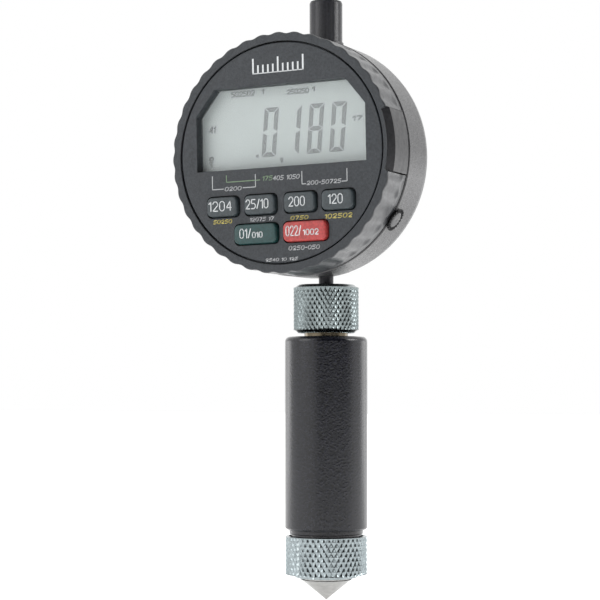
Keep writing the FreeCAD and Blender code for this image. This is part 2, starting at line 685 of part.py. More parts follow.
def make_clamp_collet():
    neck_top, thread_low, thread_top, jaw_low = COLLET_THREAD
    bore = SHANK_R + RUN
    seat = TUBE_TOP + FIT_GAP
    collet = stem_turned([(bore, COLLET_LOW), (COLLET_SCREW_R, COLLET_LOW), (COLLET_SCREW_R, seat),
                          (COLLET_NECK_R, seat), (COLLET_NECK_R, neck_top), (COLLET_THREAD_R, thread_low),
                          (COLLET_THREAD_R, thread_top), (COLLET_JAW_R, jaw_low),
                          (COLLET_JAW_TOP_R, COLLET_TOP), (bore, COLLET_TOP)])
    for angle in (0, 90):
        slit = Part.makeBox(2 * NUT_R, COLLET_SLIT, NUT_R, V(-NUT_R, -COLLET_SLIT / 2, COLLET_SLIT_LOW))
        collet = collet.cut(slit.rotate(V(0, 0, 0), UP, angle))
    return collet


def make_lock_nut():
    return stem_turned([(NUT_BORE, NUT_LOW), (NUT_R - NUT_EDGE_IN, NUT_LOW), (NUT_R, NUT_LOW + NUT_EDGE),
                        (NUT_R, NUT_TOP - NUT_EDGE), (NUT_R - NUT_EDGE_IN, NUT_TOP), (NUT_HOLE, NUT_TOP),
                        (NUT_HOLE, NUT_ROOF), (NUT_BORE, NUT_ROOF)])


def make_clamp_ferrule():
    return stem_turned([(FERRULE_WIDE, FERRULE_LOW), (FERRULE_R, FERRULE_LOW), (FERRULE_R, FERRULE_TOP),
                        (FERRULE_NARROW, FERRULE_TOP)])


def make_tube_nose():
    seat = TUBE_LOW - FIT_GAP
    return stem_turned([(NOSE_BORE, CHAMBER_TOP), (CHAMBER_R, CHAMBER_TOP), (CHAMBER_R, NOSE_LOW),
                        (NOSE_THREAD_R, NOSE_LOW), (NOSE_THREAD_R, NOSE_STEP), (NOSE_R, NOSE_STEP),
                        (NOSE_R, seat), (TUBE_BORE, seat), (TUBE_BORE, NOSE_SEAT), (NOSE_BORE, NOSE_SEAT)])


def make_foot_ring():
    groove_low, groove_top = RING_GROOVE
    return stem_turned([(RING_LIP_R, 0), (RING_R - RING_LOW_EDGE, 0), (RING_R, RING_LOW_EDGE),
                        (RING_R, RING_TOP - RING_EDGE), (RING_R - RING_EDGE, RING_TOP),
                        (RING_COUNTERBORE, RING_TOP),
                        (RING_COUNTERBORE, RING_THREAD_TOP), (RING_THREAD_R, RING_THREAD_TOP),
                        (RING_THREAD_R, groove_top), (RING_GROOVE_R, groove_top), (RING_GROOVE_R, groove_low),
                        (RING_THREAD_R, groove_low), (RING_THREAD_R, RING_LIP_TOP),
                        (RING_LIP_R, RING_LIP_TOP)])


def make_bezel_lock_screw():
    disc_low, disc_top = LOCK_DISC
    well_r = LOCK_HEAD_R - LOCK_RIM
    head = on_rim(LOCK_HEAD_R, LOCK_HEAD_LOW, LOCK_HEAD_LOW + LOCK_HEAD_T, LOCK_ANGLE, LOCK_DEPTH)
    well = on_rim(well_r, LOCK_HEAD_LOW + LOCK_WELL_T, REACH, LOCK_ANGLE, LOCK_DEPTH)
    disc = on_rim(well_r - LOCK_RIM_GAP, LOCK_HEAD_LOW + disc_low, LOCK_HEAD_LOW + disc_top,
                  LOCK_ANGLE, LOCK_DEPTH)
    shank = on_rim(LOCK_SCREW_R, LOCK_SCREW_LOW, LOCK_HEAD_LOW + JOIN, LOCK_ANGLE, LOCK_DEPTH)
    socket = on_rim(LOCK_SOCKET_R, LOCK_HEAD_LOW + LOCK_SOCKET_FLOOR, REACH, LOCK_ANGLE, LOCK_DEPTH)
    return head.cut(well).fuse([disc, shank]).cut(socket)


NODES = {
    "bezel_ring": in_display(make_bezel_ring()),
    "face_plate": in_display(make_face_plate()),
    "lcd_window": in_display(dial_plate(window_outline(-PANE_GAP), PANE_FRONT, PANE_END)),
    "lcd_panel": in_display(dial_plate(window_outline(LCD_GROW), LCD_FRONT, LCD_END)),
    "keypad_mat": in_display(make_keypad_mat()),
    "main_board": in_display(make_main_board()),
    "battery_cell": in_display(dial_rod(BATTERY_R, BATTERY_FRONT, BATTERY_FRONT + BATTERY_T)),
    "battery_clip": in_display(make_battery_clip()),
    "display_back": in_display(make_display_back()),
    "display_screws": in_display(make_display_screws()),
    "data_socket": in_display(dial_box(SOCKET_X, SOCKET_FRONT, SOCKET_Z, SOCKET_L, SOCKET_T, SOCKET_W)),
    "port_cover": in_display(make_port_cover()),
    "rear_case": make_rear_case(),
    "back_cover": make_back_cover(),
    "back_screws": make_back_screws(),
    "dust_cap": make_dust_cap(),
    "upper_bush": make_upper_bush(),
    "stem": make_stem(),
    "stem_bush": sleeve(STEM_BORE, SPINDLE_R + RUN, SHANK_LOW, STEM_BUSH_TOP),
    "encoder_reader": make_encoder_reader(),
    "guide_rod": rod(GUIDE_R, GUIDE_LOW, GUIDE_TOP, GUIDE_X),
    "bezel_snap_ring": make_snap_ring(),
    "spindle_rod": rod(SPINDLE_R, SPINDLE_LOW, SPINDLE_TOP),
    "guide_arm": make_guide_arm(),
    "encoder_scale": Part.makeBox(SCALE_T, 2 * SCALE_HALF, SCALE_H, V(SCALE_X, -SCALE_HALF, SCALE_LOW)),
    "plunger": make_plunger(),
    "contact_cone": make_contact_cone(),
    "plunger_spring": coil(*PLUNGER_SPRING[:2], FLANGE_Z + FLANGE_T, SHOULDER_Z, PLUNGER_SPRING[2]),
    "return_spring": coil(*RETURN_SPRING[:2], RETURN_SPRING_LOW, ARM_LOW, RETURN_SPRING[2], RETURN_SPRING_X),
    "body_tube": make_body_tube(),
    "clamp_collet": make_clamp_collet(),
    "tube_nose": make_tube_nose(),
    "plunger_bush": sleeve(NOSE_BORE, PLUNGER_R + RUN, CHAMBER_TOP, NOSE_TOP),
    "lock_nut": make_lock_nut(),
    "clamp_ferrule": make_clamp_ferrule(),
    "foot_ring": make_foot_ring(),
    "foot_friction_ring": Part.makeTorus(FRICTION_MEAN_R, FRICTION_WIRE_R, V(0, 0, sum(RING_GROOVE) / 2), UP),
    "bezel_lock_screw": make_bezel_lock_screw(),
}
for name, (x, z, width) in KEYS.items():
    NODES[name] = in_display(make_key(x, z, width))

os.makedirs("parts", exist_ok=True)
for name, shape in NODES.items():
    shape.exportStep("parts/" + name + ".step")
    solids = len(shape.Solids)
    print(name, "solids", solids, "volume", round(shape.Volume, 1), "valid", shape.isValid())
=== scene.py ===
import math

import bpy
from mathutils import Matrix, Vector


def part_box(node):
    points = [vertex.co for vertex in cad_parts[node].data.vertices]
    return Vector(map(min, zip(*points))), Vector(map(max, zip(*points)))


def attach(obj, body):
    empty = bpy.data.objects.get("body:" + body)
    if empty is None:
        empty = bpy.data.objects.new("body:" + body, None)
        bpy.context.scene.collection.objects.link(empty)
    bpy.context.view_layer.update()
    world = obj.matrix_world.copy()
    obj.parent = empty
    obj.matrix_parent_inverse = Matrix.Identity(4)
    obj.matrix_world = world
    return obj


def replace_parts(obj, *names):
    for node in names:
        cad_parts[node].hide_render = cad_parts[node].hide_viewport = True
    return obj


# Looks of a digital indicator clamped in a countersink gauge body.
# Lengths are millimetres in this script's own geometry and become metres in new_piece().
# On the display unit, x and z are measured from the dial's centre, and depth back from the bezel's front.
# A turned section is a closed list of (radius, height) or, on the bezel, (radius, depth).

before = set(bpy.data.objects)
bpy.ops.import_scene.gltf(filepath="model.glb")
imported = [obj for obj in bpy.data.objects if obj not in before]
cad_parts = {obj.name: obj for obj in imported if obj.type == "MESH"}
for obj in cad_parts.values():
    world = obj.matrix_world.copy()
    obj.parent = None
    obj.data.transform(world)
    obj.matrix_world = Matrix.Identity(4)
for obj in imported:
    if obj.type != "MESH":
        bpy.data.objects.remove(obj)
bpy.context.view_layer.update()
MM = 0.001
MICRON = 1e-6


def box_mm(node):
    """Lowest and highest corner of a CAD node, in millimetres."""
    low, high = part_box(node)
    return low / MM, high / MM


# ---------------------------------------------------------------- sizes and places, from the frame

PLATE_LOW, PLATE_HIGH = box_mm("face_plate")
NUT_LOW, NUT_HIGH = box_mm("lock_nut")
RING_LOW, RING_HIGH = box_mm("foot_ring")
CONE_LOW, CONE_HIGH = box_mm("contact_cone")
NOSE_BOTTOM = box_mm("tube_nose")[0].z
BEZEL_FRONT = box_mm("bezel_ring")[0].y
LCD_FRONT = box_mm("lcd_panel")[0].y

DIAL = Vector(((PLATE_LOW.x + PLATE_HIGH.x) / 2, BEZEL_FRONT, (PLATE_LOW.z + PLATE_HIGH.z) / 2))
DISPLAY_TURN = math.radians(1.2)
PLATE_FACE = PLATE_LOW.y - BEZEL_FRONT
LCD_FACE = LCD_FRONT - BEZEL_FRONT


def on_dial(x, depth, z):
    """A place in the display unit, from the dial's centre, turned with the display."""
    cos, sin = math.cos(DISPLAY_TURN), math.sin(DISPLAY_TURN)
    return Vector((DIAL.x + x * cos - z * sin, DIAL.y + depth, DIAL.z + x * sin + z * cos))


def upright(turn, r, z):
    """A point round the spindle axis."""
    return Vector((r * math.cos(turn), r * math.sin(turn), z))


# ---------------------------------------------------------------- materials

MIX_FACTOR = 0
MIX_A = 6
MIX_B = 7
MIX_RESULT = 2
NOISE_LOW = 0.3
NOISE_HIGH = 0.7
MOTTLE_DETAIL = 4.0
GRAIN_DETAIL = 3.0
MARK_WOBBLE = 1.5
MARK_DETAIL = 2.0


class Finish:
    """A node material on one Principled shader, built up by its methods."""

    def __init__(self, name, color, roughness, metallic=0.0, specular=0.5):
        self.material = bpy.data.materials.new(name)
        self.material.use_nodes = True
        self.tree = self.material.node_tree
        self.shader = self.tree.nodes["Principled BSDF"]
        self.color = color
        self.set("Metallic", metallic)
        self.set("Specular IOR Level", specular)
        self.set("Roughness", roughness)
        self.set("Base Color", (*color, 1))
        self.places = self.node("ShaderNodeTexCoord").outputs["Object"]
        self.normal = None

    def set(self, socket, value):
        self.shader.inputs[socket].default_value = value

    def node(self, kind, **values):
        made = self.tree.nodes.new(kind)
        for name, value in values.items():
            setattr(made, name, value)
        return made

    def link(self, source, target):
        self.tree.links.new(source, target)

    def in_mm(self, stretch=(1, 1, 1)):
        """The object's own coordinates in millimetres, times a stretch along each axis."""
        mapping = self.node("ShaderNodeMapping")
        mapping.inputs["Scale"].default_value = [part / MM for part in stretch]
        self.link(self.places, mapping.inputs["Vector"])
        return mapping.outputs["Vector"]

    def noise(self, per_mm, detail, stretch):
        """Noise with about this many lumps to a millimetre."""
        noise = self.node("ShaderNodeTexNoise")
        noise.inputs["Scale"].default_value = per_mm
        noise.inputs["Detail"].default_value = detail
        self.link(self.in_mm(stretch), noise.inputs["Vector"])
        return noise.outputs["Fac"]

    def ranged(self, source, low, high, from_low=NOISE_LOW, from_high=NOISE_HIGH):
        """A signal's range carried over to low and high."""
        node = self.node("ShaderNodeMapRange")
        node.inputs["From Min"].default_value = from_low
        node.inputs["From Max"].default_value = from_high
        node.inputs["To Min"].default_value = low
        node.inputs["To Max"].default_value = high
        self.link(source, node.inputs["Value"])
        return node.outputs["Result"]

    def relief(self, height, height_um):
        """Adds a height signal to the bump, at this many micrometres."""
        bump = self.node("ShaderNodeBump")
        bump.inputs["Distance"].default_value = height_um * MICRON
        self.link(height, bump.inputs["Height"])
        if self.normal:
            self.link(self.normal, bump.inputs["Normal"])
        self.normal = bump.outputs["Normal"]
        self.link(self.normal, self.shader.inputs["Normal"])
        return self

    def mottle(self, per_mm, amount, stretch=(1, 1, 1)):
        """Lighter and darker patches in the base colour."""
        darker = [part * (1 - amount) for part in self.color]
        lighter = [min(1.0, part * (1 + amount)) for part in self.color]
        mix = self.node("ShaderNodeMix", data_type="RGBA")
        mix.inputs[MIX_A].default_value = (*darker, 1)
        mix.inputs[MIX_B].default_value = (*lighter, 1)
        self.link(self.ranged(self.noise(per_mm, MOTTLE_DETAIL, stretch), 0, 1), mix.inputs[MIX_FACTOR])
        self.link(mix.outputs[MIX_RESULT], self.shader.inputs["Base Color"])
        return self

    def rough(self, per_mm, low, high, stretch=(1, 1, 1)):
        """Roughness that wanders between two values."""
        wandering = self.ranged(self.noise(per_mm, GRAIN_DETAIL, stretch), low, high)
        self.link(wandering, self.shader.inputs["Roughness"])
        return self

    def bump(self, per_mm, height_um):
        """Surface grain of about this many micrometres."""
        return self.relief(self.noise(per_mm, GRAIN_DETAIL, (1, 1, 1)), height_um)

    def rings(self, per_mm, height_um):
        """Fine turning marks round the spindle axis."""
        wave = self.node("ShaderNodeTexWave", wave_type="BANDS", bands_direction="Z")
        wave.inputs["Scale"].default_value = per_mm
        wave.inputs["Distortion"].default_value = MARK_WOBBLE
        wave.inputs["Detail"].default_value = MARK_DETAIL
        self.link(self.in_mm(), wave.inputs["Vector"])
        return self.relief(wave.outputs["Fac"], height_um)

    def edges(self, color, low, high):
        """Another colour along sharp edges, where the surface's pointedness runs from low to high."""
        point = self.node("ShaderNodeNewGeometry").outputs["Pointiness"]
        mix = self.node("ShaderNodeMix", data_type="RGBA")
        base = self.shader.inputs["Base Color"]
        self.link(base.links[0].from_socket, mix.inputs[MIX_A])
        mix.inputs[MIX_B].default_value = (*color, 1)
        self.link(self.ranged(point, 0, 1, low, high), mix.inputs[MIX_FACTOR])
        self.link(mix.outputs[MIX_RESULT], base)
        return self


def moulded(name, color, roughness=0.45, specular=0.5, grain_um=8):
    """Fine-textured moulded plastic."""
    look = Finish(name, color, roughness, specular=specular)
    look.mottle(per_mm=1.9, amount=0.30)
    look.rough(per_mm=0.8, low=roughness - 0.06, high=roughness + 0.08)
    look.bump(per_mm=3.6, height_um=grain_um)
    look.bump(per_mm=1.0, height_um=6)
    return look.material


def turned_metal(name, color, low, high, marks_per_mm=2.0):
    """Bare turned or ground metal, its roughness between low and high."""
    look = Finish(name, color, low, metallic=1.0)
    look.mottle(per_mm=0.5, amount=0.12, stretch=(1, 1, 3))
    look.rough(per_mm=1.5, low=low, high=high, stretch=(0.5, 0.5, 4))
    look.rings(marks_per_mm, height_um=2.0)
    look.bump(per_mm=6.0, height_um=1.5)
    return look.material


def black_with_painted_glints():
    """Glossy black metal with painted glints: a light colour on its sharpest edges and notches."""
    look = Finish("black_gloss", (0.006, 0.006, 0.007), roughness=0.16, specular=0.12)
    look.mottle(per_mm=1.5, amount=0.3)
    look.rough(per_mm=2.0, low=0.12, high=0.26)
    look.bump(per_mm=2.4, height_um=40)
    # Painted glints: light grey where the notched rim is sharpest.
    look.edges((0.75, 0.75, 0.76), low=0.60, high=0.66)
    return look.material


def case_paint():
    """Pebbled black paint, rubbed grey along the edges."""
    look = Finish("case_paint", (0.030, 0.030, 0.032), roughness=0.30, specular=0.52)
    look.mottle(per_mm=0.6, amount=0.15)
    look.rough(per_mm=2.2, low=0.24, high=0.38)
    look.bump(per_mm=2.8, height_um=75)
    look.bump(per_mm=0.7, height_um=10)
    look.edges((0.16, 0.16, 0.165), low=0.56, high=0.66)
    return look.material


def anodise(name, specular):
    """Dark anodised metal with a fine speckle."""
    look = Finish(name, (0.0062, 0.0066, 0.0100), roughness=0.22, specular=specular)
    look.mottle(per_mm=1.9, amount=1.0)
    look.rough(per_mm=3.0, low=0.14, high=0.25)
    look.bump(per_mm=1.9, height_um=42)
    look.edges((0.12, 0.12, 0.125), low=0.56, high=0.68)
    return look.material


def knurled_steel(name, color):
    """Steel with painted highlights: a light colour on the knurl's sharp tops, the darker base colour in its
    grooves.
    """
    look = Finish(name, color, roughness=0.22, metallic=1.0)
    look.mottle(per_mm=0.8, amount=0.18)
    look.rough(per_mm=2.5, low=0.16, high=0.32)
    look.bump(per_mm=7.0, height_um=4)
    # Painted highlights on the knurl's crests.
    look.edges((0.72, 0.79, 0.80), low=0.52, high=0.62)
    return look.material


def lcd_film():
    """Grey-green reflector of the display."""
    look = Finish("lcd_film", (0.370, 0.412, 0.412), roughness=0.35, specular=0.4)
    look.mottle(per_mm=0.12, amount=0.035)
    look.rough(per_mm=1.0, low=0.30, high=0.42)
    look.bump(per_mm=3.0, height_um=1.0)
    return look.material


def window_pane():
    """Clear plastic window, nearly invisible but for its gloss."""
    look = Finish("window_pane", (0.90, 0.95, 0.93), roughness=0.06)
    look.set("Alpha", 0.10)
    look.rough(per_mm=0.2, low=0.04, high=0.09)
    return look.material


def ink(name, color, roughness=0.5):
    """Screen-printed ink, slightly uneven."""
    look = Finish(name, color, roughness)
    look.mottle(per_mm=2.5, amount=0.08)
    look.bump(per_mm=6.0, height_um=2)
    return look.material


BEZEL_BLACK = moulded("bezel_black", (0.032, 0.034, 0.037), roughness=0.34, specular=0.64, grain_um=34)
FACE_BLACK = moulded("face_black", (0.024, 0.028, 0.033), roughness=0.44, specular=0.40, grain_um=70)
PORT_BLACK = moulded("port_black", (0.020, 0.020, 0.022), roughness=0.38, specular=0.32)
CASE_PAINT = case_paint()
TUBE_ANODISE = anodise("tube_anodise", specular=0.44)
CAP_ANODISE = anodise("cap_anodise", specular=0.25)
# Two copies of the same knurled steel: the nut's darker as painted shade under the display unit, the foot
# ring's lighter as painted light from the floor.
NUT_STEEL_PAINTED_SHADE = knurled_steel("knurled_steel", (0.178, 0.206, 0.209))
RING_STEEL_PAINTED_LIGHT = knurled_steel("ring_steel", (0.285, 0.325, 0.337))
LCD_FILM = lcd_film()
WINDOW_PANE = window_pane()
GROUND_STEEL = turned_metal("ground_steel", (0.48, 0.475, 0.465), low=0.14, high=0.28, marks_per_mm=3.0)
PLATED_STEEL = turned_metal("plated_steel", (0.52, 0.53, 0.55), low=0.28, high=0.42)
# The collet's brass is painted nearly black: painted shade in the narrow gap under the lock nut.
BRASS_PAINTED_SHADE = turned_metal("turned_brass", (0.120, 0.100, 0.070), low=0.08, high=0.16)
BRONZE = turned_metal("sintered_bronze", (0.45, 0.30, 0.16), low=0.40, high=0.55)
SPRING_STEEL = turned_metal("spring_steel", (0.55, 0.55, 0.57), low=0.25, high=0.35)
ALUMINIUM = turned_metal("milled_aluminium", (0.78, 0.78, 0.80), low=0.28, high=0.42)
CONE_STEEL = turned_metal("cone_steel", (0.405, 0.40, 0.39), low=0.14, high=0.28, marks_per_mm=2.2)
BLACK_GLOSS = black_with_painted_glints()
SCREW_GREY = moulded("screw_grey", (0.036, 0.036, 0.038), roughness=0.36, specular=0.6, grain_um=30)
BLACK_OXIDE = turned_metal("black_oxide", (0.035, 0.035, 0.038), low=0.32, high=0.46)
NICKEL = turned_metal("nickel_can", (0.70, 0.69, 0.66), low=0.20, high=0.32)
SILICONE = moulded("silicone_black", (0.020, 0.020, 0.022), roughness=0.60)
SOCKET_BLACK = moulded("socket_black", (0.015, 0.015, 0.016), roughness=0.35)
KEY_SLATE = moulded("key_slate", (0.028, 0.038, 0.043), roughness=0.42)
KEY_GREEN = moulded("key_green", (0.007, 0.040, 0.039), roughness=0.42)
KEY_RED = moulded("key_red", (0.36, 0.040, 0.038), roughness=0.42)
BOARD_GREEN = moulded("board_green", (0.020, 0.120, 0.050), roughness=0.35)
SCALE_GLASS = moulded("scale_glass", (0.550, 0.600, 0.600), roughness=0.15)
INK_WHITE = ink("ink_white", (0.62, 0.64, 0.65))
INK_GREY = ink("ink_grey", (0.42, 0.43, 0.44))
INK_YELLOW = ink("ink_yellow", (0.50, 0.42, 0.10))
INK_GREEN = ink("ink_green", (0.16, 0.24, 0.14))
SEGMENT = ink("lcd_segment", (0.098, 0.112, 0.120), roughness=0.4)
SEGMENT_FAINT = ink("lcd_segment_faint", (0.135, 0.155, 0.162), roughness=0.4)

NODE_LOOKS = {
    "face_plate": FACE_BLACK, "lcd_window": WINDOW_PANE, "lcd_panel": LCD_FILM, "keypad_mat": SILICONE,
    "main_board": BOARD_GREEN, "battery_cell": NICKEL, "battery_clip": SPRING_STEEL,
    "display_back": BEZEL_BLACK, "display_screws": PLATED_STEEL, "data_socket": SOCKET_BLACK,
    "port_cover": PORT_BLACK, "rear_case": CASE_PAINT, "back_cover": CASE_PAINT, "back_screws": PLATED_STEEL,
    "dust_cap": CAP_ANODISE, "upper_bush": BRONZE, "stem": BLACK_OXIDE, "stem_bush": BRONZE,
    "encoder_reader": BOARD_GREEN, "guide_rod": GROUND_STEEL, "bezel_snap_ring": SPRING_STEEL,
    "spindle_rod": GROUND_STEEL, "guide_arm": ALUMINIUM, "encoder_scale": SCALE_GLASS,
    "plunger": GROUND_STEEL, "contact_cone": GROUND_STEEL, "plunger_spring": SPRING_STEEL,
    "return_spring": SPRING_STEEL,
    "body_tube": TUBE_ANODISE, "clamp_collet": BRASS_PAINTED_SHADE, "tube_nose": TUBE_ANODISE, "plunger_bush": BRONZE,
    "clamp_ferrule": PLATED_STEEL, "foot_friction_ring": SILICONE, "bezel_lock_screw": BLACK_OXIDE,
}
for node, look in NODE_LOOKS.items():
    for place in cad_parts[node].material_slots:
        place.material = look


# ---------------------------------------------------------------- mesh building

TURNED_STEPS = 180


def new_piece(name, points, faces, look, body, crease):
    """A mesh piece from points in millimetres, smooth but for edges sharper than crease degrees."""
    mesh = bpy.data.meshes.new(name)
    mesh.from_pydata([point * MM for point in points], [], faces)
    mesh.polygons.foreach_set("use_smooth", [True] * len(mesh.polygons))
    mesh.set_sharp_from_angle(angle=math.radians(crease))
    mesh.materials.append(look)
    piece = bpy.data.objects.new(name, mesh)
    bpy.context.scene.collection.objects.link(piece)
    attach(piece, body)
    return piece


def spun(section, steps, place):
    """Points and faces of a closed section swept round; place gives each point."""
    points = []
    faces = []
    count = len(section)
    for step in range(steps):
        turn = 2 * math.pi * step / steps
        points += [place(turn, r, h) for r, h in section]
        nxt = (step + 1) % steps
        for row in range(count):
            up = (row + 1) % count
            faces.append((step * count + row, step * count + up, nxt * count + up, nxt * count + row))
    return points, faces


def arc(cx, cy, r, start, end, parts=6):
    """Points along an arc, angles in degrees."""
    turns = [math.radians(start + (end - start) * part / parts) for part in range(parts + 1)]
    return [(cx + r * math.cos(turn), cy + r * math.sin(turn)) for turn in turns]


# ---------------------------------------------------------------- knurled steel pieces

KNURL_TOP = 0.92
KNURL_SAMPLES = 8
KNURL_RUN_OUT = 0.12


def knurl_height(turn, z, count, rise):
    """0 at the bottom of the grooves, 1 on the tops of the diamonds."""
    across = count * turn / (2 * math.pi)
    along = z / rise

    def ridge(phase):
        return 1 - abs(2 * (phase % 1) - 1)

    return min(ridge(across + along), ridge(across - along), KNURL_TOP) / KNURL_TOP


def split_along_ridges(points, quads):
    """Each quad as two triangles, cut along the diagonal whose ends are nearer to one radius."""
    radii = [math.hypot(point.x, point.y) for point in points]
    faces = []
    for a, b, c, d in quads:
        if abs(radii[a] - radii[c]) < abs(radii[b] - radii[d]):
            faces += [(a, b, c), (a, c, d)]
        else:
            faces += [(a, b, d), (b, c, d)]
    return faces


def knurled(name, node, section, low, high, crest, depth, count, rise, look):
    """Replaces a turned CAD node by one with a diamond knurl between two heights.

    count diamonds stand side by side round the crest radius, each rise high.
    """
    rows = round((high - low) * KNURL_SAMPLES / rise)
    zone = [(crest, low + (high - low) * row / rows) for row in range(rows + 1)]

    def place(turn, r, z):
        if r == crest:
            inside = max(0.0, min(1.0, (z - low) / KNURL_RUN_OUT, (high - z) / KNURL_RUN_OUT))
            r = crest - depth * (1 - knurl_height(turn, z - low, count, rise)) * inside
        return upright(turn, r, z)

    points, quads = spun(section + zone, count * KNURL_SAMPLES, place)
    piece = new_piece(name, points, split_along_ridges(points, quads), look, node, crease=30)
    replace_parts(piece, node)


NUT_CREST = NUT_HIGH.x
NUT_CUT = 0.23
NUT_EDGE = 0.72
NUT_BORE_R = 6.75
NUT_BORE_EDGE = 0.25
NUT_FLOOR = NUT_HIGH.z - 1.86
NUT_HOLE_R = 4.2
NUT_HOLE_EDGE = 0.3
NUT_KNURL_COUNT = 43
NUT_KNURL_RISE = 2.03
# The rounded ends of the nut: how far in from the crest, how far from the end face.
NUT_TOP_END = [(NUT_CUT, NUT_EDGE - 0.1), (0.60, NUT_EDGE - 0.25), (1.0, 0.12), (1.25, 0.0)]
NUT_LOW_END = [(1.15, 0.0), (0.95, 0.12), (0.60, NUT_EDGE - 0.25), (NUT_CUT, NUT_EDGE - 0.1)]


def make_lock_nut():
    section = [(NUT_CREST - inward, NUT_HIGH.z - down) for inward, down in NUT_TOP_END]
    section += [(NUT_HOLE_R + NUT_HOLE_EDGE, NUT_HIGH.z), (NUT_HOLE_R, NUT_HIGH.z - NUT_HOLE_EDGE)]
    section += [(NUT_HOLE_R, NUT_FLOOR), (NUT_BORE_R, NUT_FLOOR)]
    section += [(NUT_BORE_R, NUT_LOW.z + NUT_BORE_EDGE), (NUT_BORE_R + NUT_BORE_EDGE, NUT_LOW.z)]
    section += [(NUT_CREST - inward, NUT_LOW.z + up) for inward, up in NUT_LOW_END]
    knurled("lock_nut_knurled", "lock_nut", section, low=NUT_LOW.z + NUT_EDGE, high=NUT_HIGH.z - NUT_EDGE,
            crest=NUT_CREST, depth=NUT_CUT, count=NUT_KNURL_COUNT, rise=NUT_KNURL_RISE, look=NUT_STEEL_PAINTED_SHADE)


RING_CREST = RING_HIGH.x
RING_CUT = 0.29
RING_TOP_EDGE = 0.08
RING_LOW_EDGE = 0.82
RING_MOUTH_R = 9.2
RING_MOUTH_END = 7.0
RING_THREAD_R = 8.66
RING_GROOVE_R = 9.36
RING_GROOVE_TOP = 6.2
RING_GROOVE_LOW = 5.2
RING_FLOOR = 2.6
RING_LIP_R = 6.75
RING_LAND_R = 7.7
RING_EASE = 0.12
RING_TOP_BEVEL = 0.40
RING_KNURL_COUNT = 46
RING_KNURL_RISE = 2.37
# The step from the land, which sits on the work, out and up to the knurl.
RING_STEP = [(RING_LAND_R + 0.05, 0.62), (RING_CREST - 0.95, 0.66), (RING_CREST - 0.55, 0.78)]


def make_foot_ring():
    section = [(RING_CREST - RING_TOP_BEVEL, RING_HIGH.z), (RING_MOUTH_R, RING_HIGH.z)]
    section += [(RING_MOUTH_R, RING_MOUTH_END)]
    section += [(RING_THREAD_R, RING_MOUTH_END), (RING_THREAD_R, RING_GROOVE_TOP)]
    section += [(RING_GROOVE_R, RING_GROOVE_TOP), (RING_GROOVE_R, RING_GROOVE_LOW)]
    section += [(RING_THREAD_R, RING_GROOVE_LOW), (RING_THREAD_R, RING_FLOOR), (RING_LIP_R, RING_FLOOR)]
    section += [(RING_LIP_R, RING_EASE), (RING_LIP_R + RING_EASE, 0.0)]
    section += [(RING_LAND_R - RING_EASE, 0.0), (RING_LAND_R, RING_EASE)] + RING_STEP
    knurled("foot_ring_knurled", "foot_ring", section, low=RING_LOW.z + RING_LOW_EDGE,
            high=RING_HIGH.z - RING_TOP_EDGE, crest=RING_CREST, depth=RING_CUT, count=RING_KNURL_COUNT,
            rise=RING_KNURL_RISE, look=RING_STEEL_PAINTED_LIGHT)


make_lock_nut()
make_foot_ring()


# ---------------------------------------------------------------- nose and cone, with their relief grooves

NOSE_BUSH_R = 4.0
NOSE_POCKET_R = 6.85
NOSE_POCKET_END = 9.6
NOSE_THREAD_R = 8.6
NOSE_THREAD_END = 8.4
NOSE_NECK_R = 8.7
NOSE_NECK_END = 10.65
NOSE_COLLAR_R = 9.15
NOSE_COLLAR_END = 11.68
NOSE_SHANK_R = 6.98
NOSE_SHANK_END = 19.5
NOSE_NECK_EASE = 0.1
# The collar's lower edge: how far in from its radius, how far above the neck's end.
NOSE_COLLAR_EDGE = [(0.12, 0.07), (0.0, 0.20)]


def make_nose():
    """The threaded nose: a pocket for the cone, a thread, a neck, a collar and a shank in the tube."""
    section = [(NOSE_BUSH_R, NOSE_POCKET_END), (NOSE_POCKET_R, NOSE_POCKET_END), (NOSE_POCKET_R, NOSE_BOTTOM)]
    section += [(NOSE_THREAD_R, NOSE_BOTTOM), (NOSE_THREAD_R, NOSE_THREAD_END)]
    section += [(NOSE_NECK_R, NOSE_THREAD_END + NOSE_NECK_EASE), (NOSE_NECK_R, NOSE_NECK_END)]
    section += [(NOSE_COLLAR_R - inward, NOSE_NECK_END + up) for inward, up in NOSE_COLLAR_EDGE]
    section += [(NOSE_COLLAR_R, NOSE_COLLAR_END), (NOSE_SHANK_R, NOSE_COLLAR_END)]
    section += [(NOSE_SHANK_R, NOSE_SHANK_END), (NOSE_BUSH_R, NOSE_SHANK_END)]
    mesh = spun(section, TURNED_STEPS, upright)
    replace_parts(new_piece("tube_nose_grooved", *mesh, TUBE_ANODISE, "gauge_body", crease=30), "tube_nose")


CONE_R = 6.35
CONE_RIM_Z = -0.52
CONE_NECK_R = 5.75
CONE_NECK_LOW = -0.40
CONE_NECK_HIGH = 2.6
CONE_BORE_R = 2.5
CONE_BORE_END = 0.6
CONE_TIP_R = 0.15
CONE_TOP_BEVEL = 0.4
ON_AXIS_R = 0.01
# The rounded rim: how far in from its radius, how far above its middle.
CONE_RIM = [(0.10, -0.10), (0.0, 0.0), (0.05, 0.08)]


def make_cone():
    """The contact cone: a point, a rim, a neck above it and a bore for the plunger's end."""
    section = [(CONE_BORE_R, CONE_HIGH.z), (CONE_BORE_R, CONE_BORE_END), (ON_AXIS_R, CONE_BORE_END)]
    section += [(ON_AXIS_R, CONE_LOW.z), (CONE_TIP_R, CONE_LOW.z)]
    section += [(CONE_R - inward, CONE_RIM_Z + up) for inward, up in CONE_RIM]
    section += [(CONE_NECK_R, CONE_NECK_LOW), (CONE_NECK_R, CONE_NECK_HIGH)]
    section += [(CONE_R - CONE_TOP_BEVEL, CONE_HIGH.z)]
    mesh = spun(section, TURNED_STEPS, upright)
    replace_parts(new_piece("contact_cone_ground", *mesh, CONE_STEEL, "spindle", crease=30), "contact_cone")


make_nose()
make_cone()


# ---------------------------------------------------------------- bezel ring with its scallops

